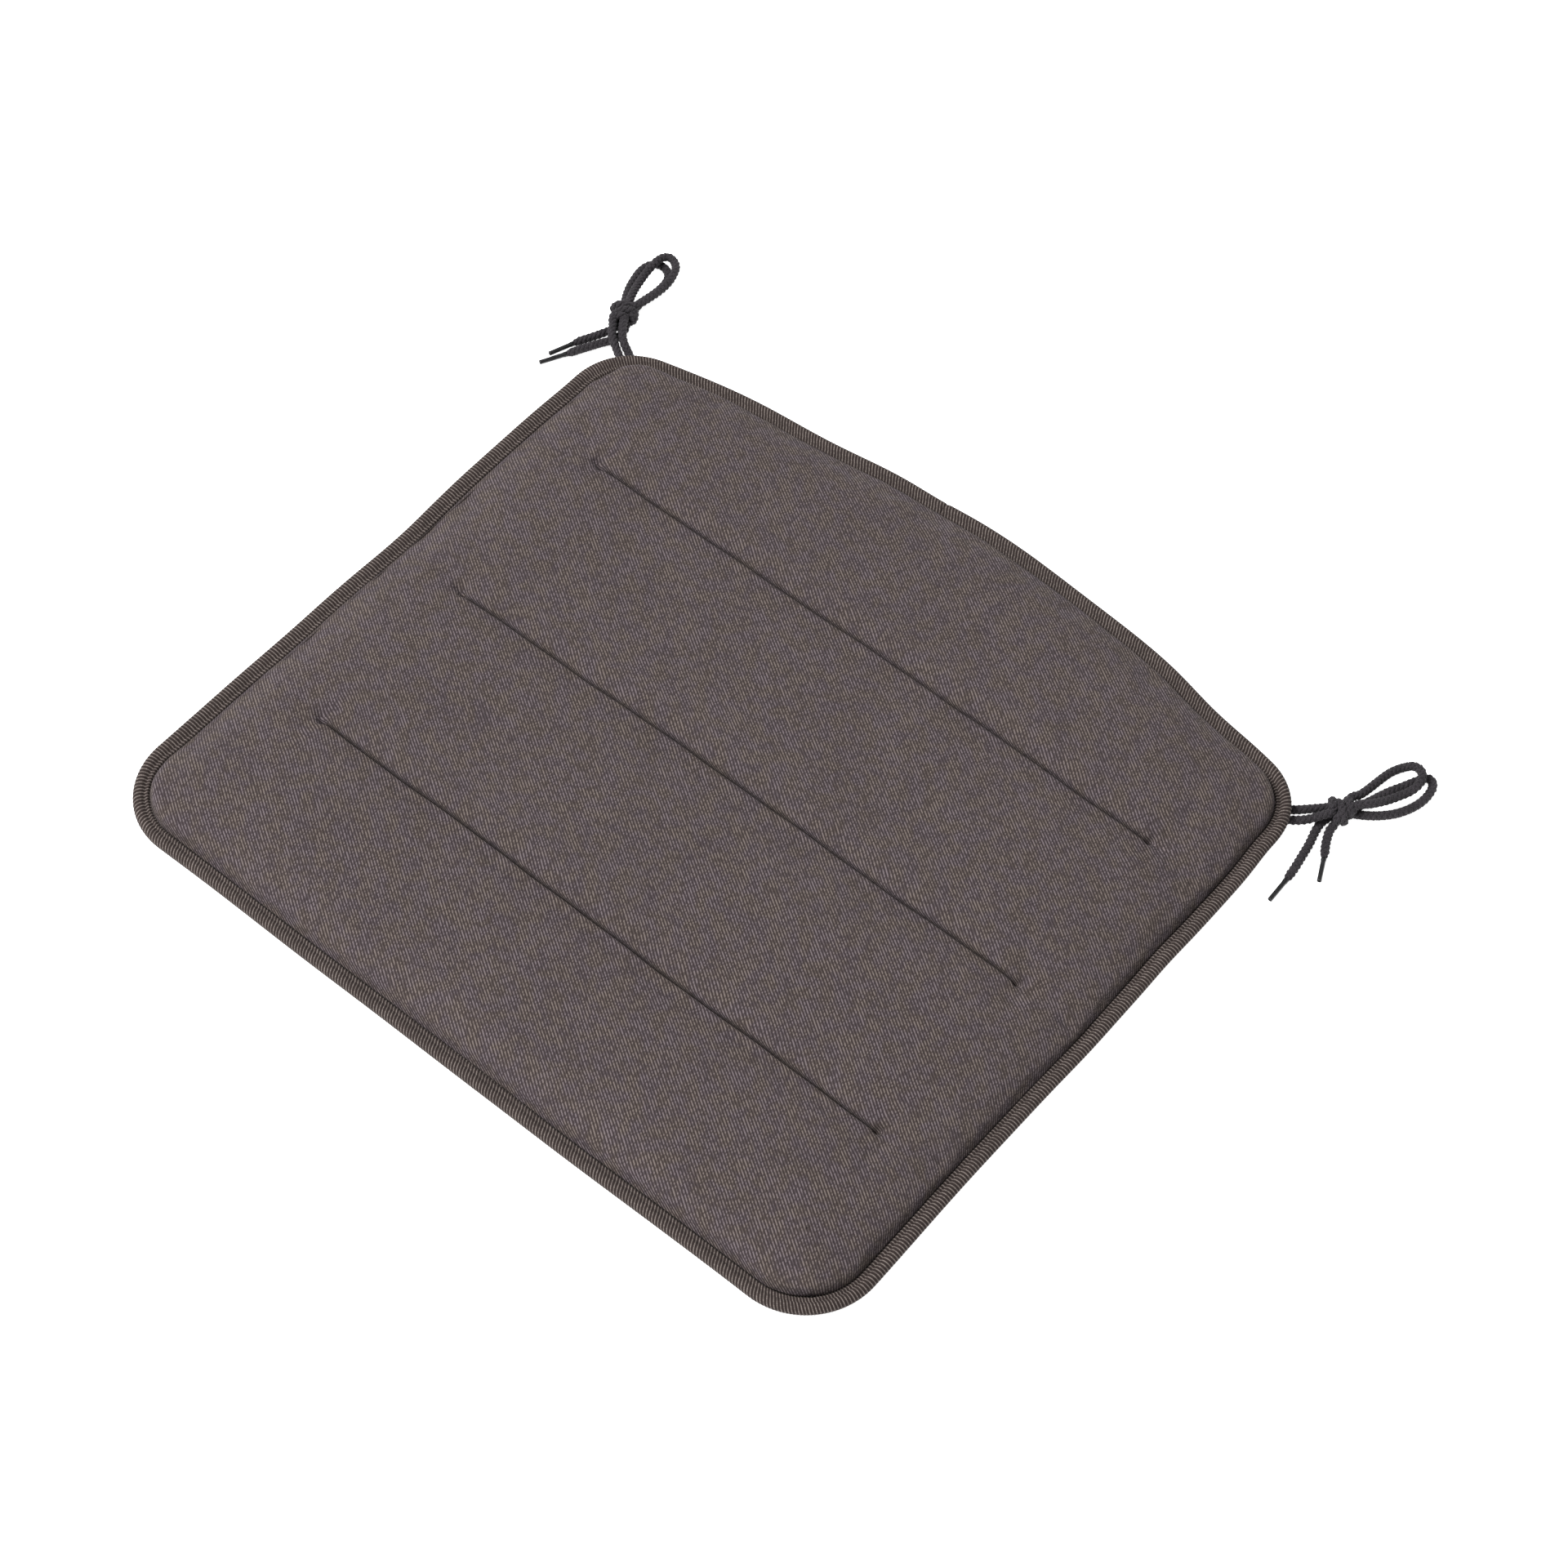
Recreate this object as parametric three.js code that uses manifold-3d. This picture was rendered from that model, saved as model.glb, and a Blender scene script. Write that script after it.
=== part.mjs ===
// Chair seat pad: two twill panels round a sheet of foam, sewn through in three channels, with piping round the
// edge and a tied cord at each back corner. Millimetres, +Z up, +Y to the back, origin under the middle of the pad.
import * as THREE from 'three';
import { mergeVertices } from 'three/addons/utils/BufferGeometryUtils.js';
import Module from 'manifold-3d';

const wasm = await Module();
wasm.setup();

// Outline of the piping's middle line, seen from above
const HALF_WIDTH = 217.1;
const HALF_DEPTH = 195.1;
const FRONT_CORNER_RADIUS = 37;
const BACK_CORNER_RADIUS = 35;
const BACK_EDGE_RADIUS = 813;
const ARC_DIVISIONS = 3;

// Heights and layers
const PAD_HEIGHT = 25;
const SEAM_HEIGHT = 11;
const CLOTH = 0.9;
const GAP = 0.3;
const CROWN_RUN = 14;
const UNDERSIDE_RUN = 7;
const BEVEL_SEGMENTS = 3;
const SEAM_ALLOWANCE = 8;
const FOAM_INSET = 14;

// Piping
const PIPING_RADIUS = 2.9;
const FLANGE_THICKNESS = 1.6;
const COVER_INSET = 5.1;
const SLEEVE_WALL = 0.7;
const SECTION_SEGMENTS = 6;

// Sewn channels, and how far back each one is. They sit a little to the right of the pad's middle.
const CHANNELS = { back: 97.3, middle: -3, front: -102.2 };
const CHANNEL_MIDDLE_X = 5.5;
const CHANNEL_HALF_LENGTH = 174;
const GROOVE_HALF_WIDTH = 7;
const TROUGH_RISE = 1;
const TOP_GROOVE_FLOOR = 14;
const UNDERSIDE_GROOVE_ROOF = 7.5;
const THREAD_RADIUS = 0.35;

// Ties
const CORD_RADIUS = 2.1;
const CORD_SIDES = 8;
const CORD_STEP = 9;
const AGLET_RADIUS = 1.15;
const KNOT_HALF_SIZE = new THREE.Vector3(7.8, 6.2, 5.2);
const KNOT_HEIGHT = 5.5;
const LEG_SPACING = 5.2;
const LEG_HEIGHT = 5;
const LEG_INNER_REACH = 8.4;

// Each tie: where its legs leave the corner, as an angle round the corner's centre from the pad's side towards
// its back, its knot's middle and direction, and its free cord, all as points chosen along the route
const TIES = {
  left: {
    side: -1,
    exitAngle: 47.5,
    knot: [-231, 189.5],
    knotDirection: [-0.6, 0.8],
    legs: [
      [[-216, 168, 4.8], [-221, 170.9, 6.4], [-225.4, 173.9, 7.4], [-229, 178.6, 7.6], [-232.8, 183.2, 7.8],
        [-233.5, 187, 6]],
      [[-212.4, 171.8, 4.8], [-217.4, 174.2, 6.4], [-221.6, 177.6, 7.4], [-225, 181.8, 7.6], [-227.6, 186.2, 7.4],
        [-229.5, 188.5, 6]],
    ],
    loops: [
      [[-234.8, 191, 3.6], [-236.5, 196.2, 3.4], [-239.4, 200.3, 2.6], [-242.3, 206.1, 2.4],
        [-244.4, 212.7, 2.4], [-245.6, 219, 2.4], [-245, 223.8, 2.4], [-242.7, 227.2, 2.4],
        [-239.2, 228.6, 2.4], [-235.1, 227.8, 2.4], [-232.1, 225.5, 2.4], [-230.4, 221.8, 2.4],
        [-229.8, 217.4, 2.4], [-229.9, 212.5, 2.4], [-230.5, 207.5, 2.4], [-231.1, 202.8, 2.6],
        [-230.6, 197.5, 2.8], [-231, 192, 3.4]],
      [[-232.4, 192, 6.4], [-233.4, 196.2, 6.4], [-235.3, 200, 6.6], [-238.1, 206.6, 5.4],
        [-239.7, 212.7, 5.2], [-240.4, 218.1, 6], [-240.5, 222.8, 7.1], [-240.6, 227.1, 7.2],
        [-240.2, 231.1, 6.2], [-238.3, 233.4, 5.6], [-234.2, 232.6, 6.2], [-230.3, 229.5, 7],
        [-228, 225.1, 7.2], [-226.6, 219.8, 7.2], [-226.2, 214.5, 7.2], [-226.6, 209, 7.2],
        [-227.5, 203.6, 7.2], [-228.5, 199.3, 7], [-228.8, 192, 6.8]],
    ],
    ends: [
      [[-226.8, 187, 3.2], [-225.6, 183.5, 2.4], [-225, 177.6, 2.4], [-226.5, 173.5, 2.4], [-229.3, 168.9, 2.4],
        [-232.2, 163.5, 2.4], [-235.1, 158.1, 2.4], [-238.1, 151.8, 2.4]],
      [[-230.8, 188, 4], [-230.2, 186, 3], [-230.4, 181.4, 2.4], [-231.5, 177.8, 2.4], [-233.4, 173.5, 2.4],
        [-235.8, 168.5, 2.4], [-238.3, 163.6, 2.4], [-240.1, 159, 2.4]],
    ],
    agletTips: [[-244.6, 139.5, 2.4], [-244.7, 147, 2.4]],
  },
  right: {
    side: 1,
    exitAngle: 36.5,
    knot: [229.8, 177.1],
    knotDirection: [0.75, 0.66],
    legs: [
      [[210.2, 162.1, 4.8], [213.8, 164.7, 5.2], [216.8, 167.4, 5.5], [220.2, 170.8, 5.6], [224.2, 175.2, 5.6],
        [227.5, 177.4, 5.5]],
      [[212.8, 157.2, 4.8], [216.9, 159.1, 5.8], [220.8, 161.9, 7], [223.6, 165.4, 7.6], [225.9, 169.3, 7.7],
        [227.6, 172.6, 7.3], [229, 175.5, 6]],
    ],
    loops: [
      [[228.2, 181, 5.8], [229.2, 185.6, 5.8], [231.2, 191.1, 4.6], [232.3, 197.4, 4], [233.1, 204.1, 3.4],
        [234.6, 211.9, 3], [237.7, 217.4, 3.6], [241.6, 220.1, 5.4], [246.1, 219.2, 7], [249.1, 215.7, 7.4],
        [249.9, 211.5, 7.2], [248.9, 206.9, 6.4], [246.1, 201.2, 5.8], [242.9, 194.4, 6.6], [238.6, 187.9, 7.4],
        [234.4, 183.3, 7.7], [231.8, 179.8, 7]],
      [[231, 179.2, 3.6], [234, 181, 2.5], [239.8, 184.6, 2.4], [245.4, 189.3, 2.4], [249.7, 194.3, 2.4],
        [253.1, 200.5, 2.4], [255.2, 207.4, 2.4], [255.4, 213.6, 2.4], [254.2, 218.4, 2.4], [251.5, 220.8, 2.4],
        [248.8, 219.6, 2.4], [246.4, 215.4, 2.4], [243.5, 209.3, 2.4], [240.6, 203.5, 2.4], [238.4, 198, 2.4],
        [236.4, 192.3, 2.4], [234, 186.3, 2.4], [232, 181.4, 3.4]],
    ],
    ends: [
      [[227.6, 174.5, 3.2], [226.4, 171.2, 2.4], [225.7, 166.8, 2.4], [226.6, 161, 2.4], [228.4, 154, 2.4],
        [229.7, 146.6, 2.4], [231, 138.8, 2.4], [231.9, 130.2, 2.4]],
      [[230.8, 175, 3.6], [230.8, 172.2, 2.8], [231.4, 166.4, 2.4], [234.3, 159.3, 2.4], [237.2, 154.2, 2.4],
        [238.6, 151.5, 2.4]],
    ],
    agletTips: [[232.4, 117.2, 2.4], [244, 140.4, 2.4]],
  },
};

const material = (color, roughness) => new THREE.MeshStandardMaterial({ color, roughness, metalness: 0 });
const TWILL = material(0x5d5452, 0.9);
const UNDERSIDE_TWILL = material(0x575050, 0.92);
const FOAM = material(0xe9e2c8, 0.95);
const FILLER = material(0xd8d4ca, 0.95);
const THREAD = material(0x3c3533, 0.7);
const BRAID = material(0x3a383c, 0.85);
const AGLET = material(0x242426, 0.35);

const pad = new THREE.Group();
pad.name = 'chair_seat_pad';

const add = (name, geometry, finish) => {
  const mesh = new THREE.Mesh(geometry, finish);
  mesh.name = name;
  pad.add(mesh);
};

// --- Solids: manifold-3d joins and cuts what three.js makes ---

const toSolid = (geometry) => {
  const bare = geometry.clone();
  bare.deleteAttribute('normal');
  bare.deleteAttribute('uv');
  const merged = mergeVertices(bare, 1e-4);
  const mesh = new wasm.Mesh({
    numProp: 3,
    vertProperties: new Float32Array(merged.attributes.position.array),
    triVerts: new Uint32Array(merged.index.array),
  });
  return new wasm.Manifold(mesh);
};

const toGeometry = (solid) => {
  const { vertProperties, triVerts } = solid.getMesh();
  const geometry = new THREE.BufferGeometry();
  geometry.setAttribute('position', new THREE.BufferAttribute(vertProperties, 3));
  geometry.setIndex(new THREE.BufferAttribute(triVerts, 1));
  geometry.computeVertexNormals();
  return geometry;
};

// --- The outline and what is swept along it or raised from it ---

// The pad's outline seen from above, moved inwards by inset. It starts in the middle of the back edge and runs
// to the left, and its arcs keep their centres, so outlines with different insets are parallel.
const backCornerX = HALF_WIDTH - BACK_CORNER_RADIUS;
const backEdgeCentreY = HALF_DEPTH - BACK_EDGE_RADIUS;
const backCornerY = backEdgeCentreY + Math.sqrt((BACK_EDGE_RADIUS - BACK_CORNER_RADIUS) ** 2 - backCornerX ** 2);
const backCornerTurn = Math.atan2(backCornerY - backEdgeCentreY, backCornerX);
const frontCornerX = HALF_WIDTH - FRONT_CORNER_RADIUS;
const frontCornerY = -HALF_DEPTH + FRONT_CORNER_RADIUS;

const outline = (inset, Kind = THREE.Shape) => {
  const path = new Kind();
  const frontRadius = FRONT_CORNER_RADIUS - inset;
  const backRadius = BACK_CORNER_RADIUS - inset;
  const backEdgeRadius = BACK_EDGE_RADIUS - inset;
  path.absarc(0, backEdgeCentreY, backEdgeRadius, Math.PI / 2, Math.PI - backCornerTurn);
  path.absarc(-backCornerX, backCornerY, backRadius, Math.PI - backCornerTurn, Math.PI);
  path.absarc(-frontCornerX, frontCornerY, frontRadius, Math.PI, Math.PI * 1.5);
  path.absarc(frontCornerX, frontCornerY, frontRadius, -Math.PI / 2, 0);
  path.absarc(backCornerX, backCornerY, backRadius, 0, backCornerTurn);
  path.absarc(0, backEdgeCentreY, backEdgeRadius, backCornerTurn, Math.PI / 2);
  return path;
};

// A curve through the outline's own corner points, so that what is swept along it has one step for each of them.
// Its ends stand a little apart in the middle of the back edge, where the piping is joined.
class EdgeCurve extends THREE.Curve {
  constructor(inset, height, joinGap) {
    super();
    this.points = outline(inset, THREE.Path).getPoints(ARC_DIVISIONS)
      .map((point) => new THREE.Vector3(point.x, point.y, height));
    this.points[0].x -= joinGap / 2;
    this.points[this.points.length - 1].x += joinGap / 2;
  }

  getPoint(share, target = new THREE.Vector3()) {
    const place = share * (this.points.length - 1);
    const before = Math.min(Math.floor(place), this.points.length - 2);
    return target.lerpVectors(this.points[before], this.points[before + 1], place - before);
  }

  getUtoTmapping(share) {
    return share;
  }
}

const sweepRoundEdge = (section, inset, height) => {
  const curve = new EdgeCurve(inset, height, GAP * 2);
  const steps = curve.points.length - 1;
  return new THREE.ExtrudeGeometry(section, { extrudePath: curve, steps, curveSegments: SECTION_SEGMENTS });
};

const prism = (inset, low, high) => {
  const geometry = new THREE.ExtrudeGeometry(outline(inset), {
    depth: high - low, bevelEnabled: false, curveSegments: ARC_DIVISIONS * 2,
  });
  return toSolid(geometry.translate(0, 0, low));
};

// Half of a slab with a rounded edge, above its middle plane (direction 1) or below it (direction -1)
const roundedHalf = ({ base, height, run, direction }, shrink) => {
  const geometry = new THREE.ExtrudeGeometry(outline(COVER_INSET + run), {
    depth: 2 * GAP,
    bevelThickness: height - GAP - shrink,
    bevelSize: run - shrink,
    bevelSegments: BEVEL_SEGMENTS,
    curveSegments: ARC_DIVISIONS * 2,
  });
  const slab = toSolid(geometry.translate(0, 0, base - GAP));
  const low = direction > 0 ? base : base - height;
  return slab.intersect(prism(0, low, low + height));
};

// A long trough with round ends, for the valley that a channel's stitches pull into the pad
const trough = (y, plane, depth, grow) => {
  const radius = GROOVE_HALF_WIDTH + grow;
  const geometry = new THREE.CapsuleGeometry(radius, 2 * (CHANNEL_HALF_LENGTH - GROOVE_HALF_WIDTH), 3, 12);
  geometry.rotateZ(Math.PI / 2);
  geometry.scale(1, 1, (depth + TROUGH_RISE + grow) / radius);
  return toSolid(geometry.translate(CHANNEL_MIDDLE_X, y, plane));
};

const withoutTroughs = (solid, { plane, depth }, grow) =>
  Object.values(CHANNELS).reduce((rest, y) => rest.subtract(trough(y, plane, depth, grow)), solid);

const flangeTop = SEAM_HEIGHT + FLANGE_THICKNESS / 2;
const flangeUnderside = SEAM_HEIGHT - FLANGE_THICKNESS / 2;
const TOP = {
  base: flangeTop + GAP, height: PAD_HEIGHT - flangeTop - GAP, run: CROWN_RUN, direction: 1,
  plane: PAD_HEIGHT + TROUGH_RISE, depth: PAD_HEIGHT - TOP_GROOVE_FLOOR,
};
const UNDERSIDE = {
  base: flangeUnderside - GAP, height: flangeUnderside - GAP, run: UNDERSIDE_RUN, direction: -1,
  plane: -TROUGH_RISE, depth: UNDERSIDE_GROOVE_ROOF,
};

// A cover panel: a shell with its seam allowance turned in along the flange
const coverPanel = (half) => {
  const outside = withoutTroughs(roundedHalf(half, 0), half, 0);
  const shell = outside.subtract(withoutTroughs(roundedHalf(half, CLOTH), half, CLOTH));
  const low = half.direction > 0 ? half.base : half.base - CLOTH;
  const ring = prism(COVER_INSET + CLOTH / 2, low, low + CLOTH)
    .subtract(prism(COVER_INSET + SEAM_ALLOWANCE, low - 1, low + CLOTH + 1));
  return shell.add(ring);
};

const foamCore = () => {
  const layers = CLOTH + GAP;
  const middle = prism(FOAM_INSET, UNDERSIDE.base - 1, TOP.base + 1);
  const filling = roundedHalf(TOP, layers).add(roundedHalf(UNDERSIDE, layers)).add(middle);
  const trimmed = filling.intersect(prism(FOAM_INSET, 0, PAD_HEIGHT));
  return withoutTroughs(withoutTroughs(trimmed, TOP, layers), UNDERSIDE, layers);
};

// --- Piping: a sleeve with its flange, and the cord inside it ---

// In the section, x points down and y points into the pad
const pipingSection = () => {
  const halfFlange = FLANGE_THICKNESS / 2;
  const mouth = Math.asin(halfFlange / PIPING_RADIUS);
  const flangeEnd = COVER_INSET + SEAM_ALLOWANCE;
  const section = new THREE.Shape();
  section.moveTo(halfFlange, flangeEnd);
  section.lineTo(-halfFlange, flangeEnd);
  section.absarc(0, 0, PIPING_RADIUS, Math.PI / 2 + mouth, Math.PI * 2.5 - mouth);
  section.closePath();
  const bore = new THREE.Path();
  bore.absarc(0, 0, PIPING_RADIUS - SLEEVE_WALL, 0, Math.PI * 2, true);
  section.holes.push(bore);
  return section;
};

const disc = (radius, sides) => {
  const corners = Array.from({ length: sides }, (_, corner) => {
    const angle = (corner + 0.5) * 2 * Math.PI / sides;
    return new THREE.Vector2(radius * Math.cos(angle), radius * Math.sin(angle));
  });
  return new THREE.Shape(corners);
};

// --- Cords and threads ---

const toVector = (point) => new THREE.Vector3(...point);

const tube = (points, radius, step, sides = CORD_SIDES) => {
  const curve = new THREE.CatmullRomCurve3(points.map(toVector), false, 'centripetal');
  const steps = Math.max(1, Math.round(curve.getLength() / step));
  return new THREE.ExtrudeGeometry(disc(radius, sides), { extrudePath: curve, steps });
};

const straightTube = (start, end, radius, sides = CORD_SIDES) => {
  const line = new THREE.LineCurve3(toVector(start), toVector(end));
  return new THREE.ExtrudeGeometry(disc(radius, sides), { extrudePath: line, steps: 1 });
};

// Where a tie's two legs go through the seam, and the fold of cord between them inside the pad
const tieRoot = ({ side, exitAngle }) => {
  const angle = THREE.MathUtils.degToRad(exitAngle);
  const out = new THREE.Vector3(side * Math.cos(angle), Math.sin(angle), 0);
  const across = new THREE.Vector3(-out.y, out.x, 0);
  const corner = new THREE.Vector3(side * backCornerX, backCornerY, LEG_HEIGHT);
  const seam = corner.clone().addScaledVector(out, BACK_CORNER_RADIUS);
  const inner = seam.clone().addScaledVector(out, -LEG_INNER_REACH);
  const beside = (point, share) => point.clone().addScaledVector(across, share * LEG_SPACING / 2).toArray();
  return { out, across, inner, beside, seam };
};

const foldedCord = ({ out, across, inner }) => {
  const arc = new THREE.Curve();
  arc.getPoint = (share, target = new THREE.Vector3()) => {
    const turn = Math.PI * share;
    return target.copy(inner)
      .addScaledVector(across, Math.cos(turn) * LEG_SPACING / 2)
      .addScaledVector(out, -GAP - Math.sin(turn) * LEG_SPACING / 2);
  };
  return new THREE.ExtrudeGeometry(disc(CORD_RADIUS, CORD_SIDES), { extrudePath: arc, steps: 6 });
};

// The knot is one lump, wider across the tie than along it
const knotLump = ({ knot, knotDirection }, grow) => {
  const geometry = new THREE.SphereGeometry(1, 16, 10);
  geometry.rotateX(Math.PI / 2);
  geometry.scale(KNOT_HALF_SIZE.x + grow, KNOT_HALF_SIZE.y + grow, KNOT_HALF_SIZE.z + grow);
  geometry.rotateZ(Math.atan2(knotDirection[1], knotDirection[0]) - Math.PI / 2);
  return toSolid(geometry.translate(knot[0], knot[1], KNOT_HEIGHT));
};

const addTie = (side, tie) => {
  const root = tieRoot(tie);
  const space = knotLump(tie, GAP);
  const outside = (geometry) => toGeometry(toSolid(geometry).subtract(space));
  // The left-hand leg of the tie is on the side that `across` points to on the left tie and away from on the right
  const legRoutes = tie.legs.map((points, index) => {
    const share = index === 0 ? 1 : -1;
    return [root.beside(root.inner, share), root.beside(root.seam, share), ...points];
  });
  add(`tie_${side}_sewn_fold`, foldedCord(root), BRAID);
  add(`tie_${side}_knot`, toGeometry(knotLump(tie, 0)), BRAID);
  legRoutes.forEach((route, index) =>
    add(`tie_${side}_leg_${index + 1}`, outside(tube(route, CORD_RADIUS, CORD_STEP)), BRAID));
  tie.loops.forEach((route, index) =>
    add(`tie_${side}_loop_${index + 1}`, outside(tube(route, CORD_RADIUS, CORD_STEP * 0.7)), BRAID));
  tie.ends.forEach((route, index) => {
    const last = toVector(route[route.length - 1]);
    const tip = toVector(tie.agletTips[index]);
    const start = last.clone().addScaledVector(tip.clone().sub(last).normalize(), GAP * 3);
    add(`tie_${side}_end_${index + 1}`, outside(tube(route, CORD_RADIUS, CORD_STEP)), BRAID);
    add(`tie_${side}_aglet_${index + 1}`, straightTube(start.toArray(), tip.toArray(), AGLET_RADIUS), AGLET);
  });
  return legRoutes.map((route) => toSolid(tube(route, CORD_RADIUS + GAP, CORD_STEP)));
};

// --- The whole pad ---

const legPassages = Object.entries(TIES).flatMap(([side, tie]) => addTie(side, tie));
const underside = legPassages.reduce((rest, passage) => rest.subtract(passage), coverPanel(UNDERSIDE));

add('cover_top', toGeometry(coverPanel(TOP)), TWILL);
add('cover_underside', toGeometry(underside), UNDERSIDE_TWILL);
add('foam_core', toGeometry(foamCore()), FOAM);
add('piping_sleeve', sweepRoundEdge(pipingSection(), 0, SEAM_HEIGHT), TWILL);
add('piping_filler_cord', sweepRoundEdge(disc(PIPING_RADIUS - SLEEVE_WALL - GAP, CORD_SIDES), 0, SEAM_HEIGHT), FILLER);

const allowanceMiddle = COVER_INSET + SEAM_ALLOWANCE / 2;
const needleHeight = TOP.base + CLOTH + GAP + THREAD_RADIUS;
const bobbinHeight = UNDERSIDE.base - CLOTH - GAP - THREAD_RADIUS;
add('seam_needle_thread', sweepRoundEdge(disc(THREAD_RADIUS, 6), allowanceMiddle, needleHeight), THREAD);
add('seam_bobbin_thread', sweepRoundEdge(disc(THREAD_RADIUS, 6), allowanceMiddle, bobbinHeight), THREAD);

const stitchHalfLength = CHANNEL_HALF_LENGTH - GROOVE_HALF_WIDTH;
const stitchStart = CHANNEL_MIDDLE_X - stitchHalfLength;
const stitchEnd = CHANNEL_MIDDLE_X + stitchHalfLength;
Object.entries(CHANNELS).forEach(([name, y]) => {
  const above = TOP_GROOVE_FLOOR + GAP + THREAD_RADIUS;
  const below = UNDERSIDE_GROOVE_ROOF - GAP - THREAD_RADIUS;
  const run = (height) =>
    straightTube([stitchStart, y, height], [stitchEnd, y, height], THREAD_RADIUS, 6);
  add(`channel_${name}_needle_thread`, run(above), THREAD);
  add(`channel_${name}_bobbin_thread`, run(below), THREAD);
});

export default pad;
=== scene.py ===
"""Looks of a chair seat pad: twill covers over foam, piping round the edge, a tied cord at each back corner.

Metres, +Z up, +Y to the back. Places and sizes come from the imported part. Cloth coordinates are kept on each
fabric mesh, so that its weave follows the cloth over the edges and into the sewn channels.
"""

import math

import bpy
import numpy as np
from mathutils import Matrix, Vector


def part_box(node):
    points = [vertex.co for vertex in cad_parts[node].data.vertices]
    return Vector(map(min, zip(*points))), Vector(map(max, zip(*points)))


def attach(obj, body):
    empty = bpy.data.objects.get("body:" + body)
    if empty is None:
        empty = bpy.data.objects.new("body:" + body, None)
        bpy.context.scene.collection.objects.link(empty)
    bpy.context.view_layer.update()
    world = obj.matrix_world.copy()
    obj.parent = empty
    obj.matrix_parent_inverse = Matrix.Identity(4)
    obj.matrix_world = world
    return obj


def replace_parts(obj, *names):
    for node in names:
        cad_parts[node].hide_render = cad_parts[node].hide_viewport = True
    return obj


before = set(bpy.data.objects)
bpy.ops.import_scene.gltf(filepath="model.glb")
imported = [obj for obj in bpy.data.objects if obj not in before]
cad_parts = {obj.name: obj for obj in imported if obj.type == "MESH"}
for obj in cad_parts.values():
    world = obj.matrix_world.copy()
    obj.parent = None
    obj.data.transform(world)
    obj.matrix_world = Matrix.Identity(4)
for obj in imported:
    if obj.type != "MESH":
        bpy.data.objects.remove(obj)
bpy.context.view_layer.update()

MM = 0.001

# --- Camera: a long lens, from the front right-hand side and above ---

CAMERA_AZIMUTH = math.radians(40)
CAMERA_ELEVATION = math.radians(56.33)
CAMERA_DISTANCE = 1.86
CAMERA_AIM = Vector((0.0244, 0.0132, 0.0186))
CAMERA_LENS = 90.88


def direction_from(azimuth, elevation):
    level = math.cos(elevation)
    return Vector((math.sin(azimuth) * level, -math.cos(azimuth) * level, math.sin(elevation)))


def add_object(name, data):
    added = bpy.data.objects.new(name, data)
    bpy.context.scene.collection.objects.link(added)
    return added


def look_from(viewer, azimuth, elevation, distance, aim=Vector()):
    """Places a camera or a light so that it looks at its aim from this direction and distance."""
    towards = direction_from(azimuth, elevation)
    viewer.location = aim + towards * distance
    viewer.rotation_euler = (-towards).to_track_quat("-Z", "Y").to_euler()


def make_camera():
    camera = add_object("camera", bpy.data.cameras.new("camera"))
    look_from(camera, CAMERA_AZIMUTH, CAMERA_ELEVATION, CAMERA_DISTANCE, CAMERA_AIM)
    camera.data.lens = CAMERA_LENS
    camera.data.clip_start = 0.05
    camera.data.clip_end = 20
    bpy.context.scene.camera = camera


make_camera()


# --- Meshes from arrays ---


def mesh_piece(name, points, faces, material, slot=None, **marks):
    """A smooth-shaded mesh on the root body. A mark holds one vector for each point."""
    mesh = bpy.data.meshes.new(name)
    mesh.from_pydata(np.asarray(points).reshape(-1, 3).tolist(), [], [list(f) for f in faces])
    mesh.polygons.foreach_set("use_smooth", [True] * len(mesh.polygons))
    for key, vectors in marks.items():
        layer = mesh.attributes.new(key, "FLOAT_VECTOR", "POINT")
        layer.data.foreach_set("vector", np.asarray(vectors, np.float32).ravel())
    mesh.materials.append(material)
    mesh.update()
    piece = add_object(name, mesh)
    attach(piece, "root")
    return piece


def smoothstep(low, high, x):
    share = np.clip((np.asarray(x, float) - low) / (high - low), 0, 1)
    return share * share * (3 - 2 * share)


def bell(x, width):
    return np.exp(-((np.asarray(x, float) / width) ** 2))


def unit(vectors):
    return vectors / np.linalg.norm(vectors, axis=-1, keepdims=True)


def distances_along(line):
    return np.concatenate([[0], np.cumsum(np.linalg.norm(np.diff(line, axis=0), axis=1))])


def turned(side, up, angles):
    """The directions at these angles from side towards up, one for each point of a line."""
    return np.cos(angles)[:, None] * side + np.sin(angles)[:, None] * up


def rings_round(line, side, up, sides):
    """Rings of points round a line. Side and up are vectors as long as its half width and height there."""
    turns = np.linspace(0, 2 * math.pi, sides, endpoint=False)[None, :, None]
    return line[:, None] + np.cos(turns) * side[:, None] + np.sin(turns) * up[:, None]


def tubes(parts):
    """Points and faces of closed tubes, each one given as its rings of points."""
    points, faces, first = [], [], 0
    for part in parts:
        rings, sides = part.shape[:2]
        ring, side = np.arange(rings - 1)[:, None] * sides, np.arange(sides)[None]
        beside = (side + 1) % sides
        corners = [ring + side, ring + beside, ring + sides + beside, ring + sides + side]
        faces += (first + np.stack(np.broadcast_arrays(*corners), -1)).reshape(-1, 4).tolist()
        last = first + (rings - 1) * sides
        faces += [list(range(first + sides - 1, first - 1, -1)), list(range(last, last + sides))]
        points.append(part.reshape(-1, 3))
        first += rings * sides
    return np.vstack(points), faces


# --- Routes: a smooth line through points, and the directions across it ---


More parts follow.
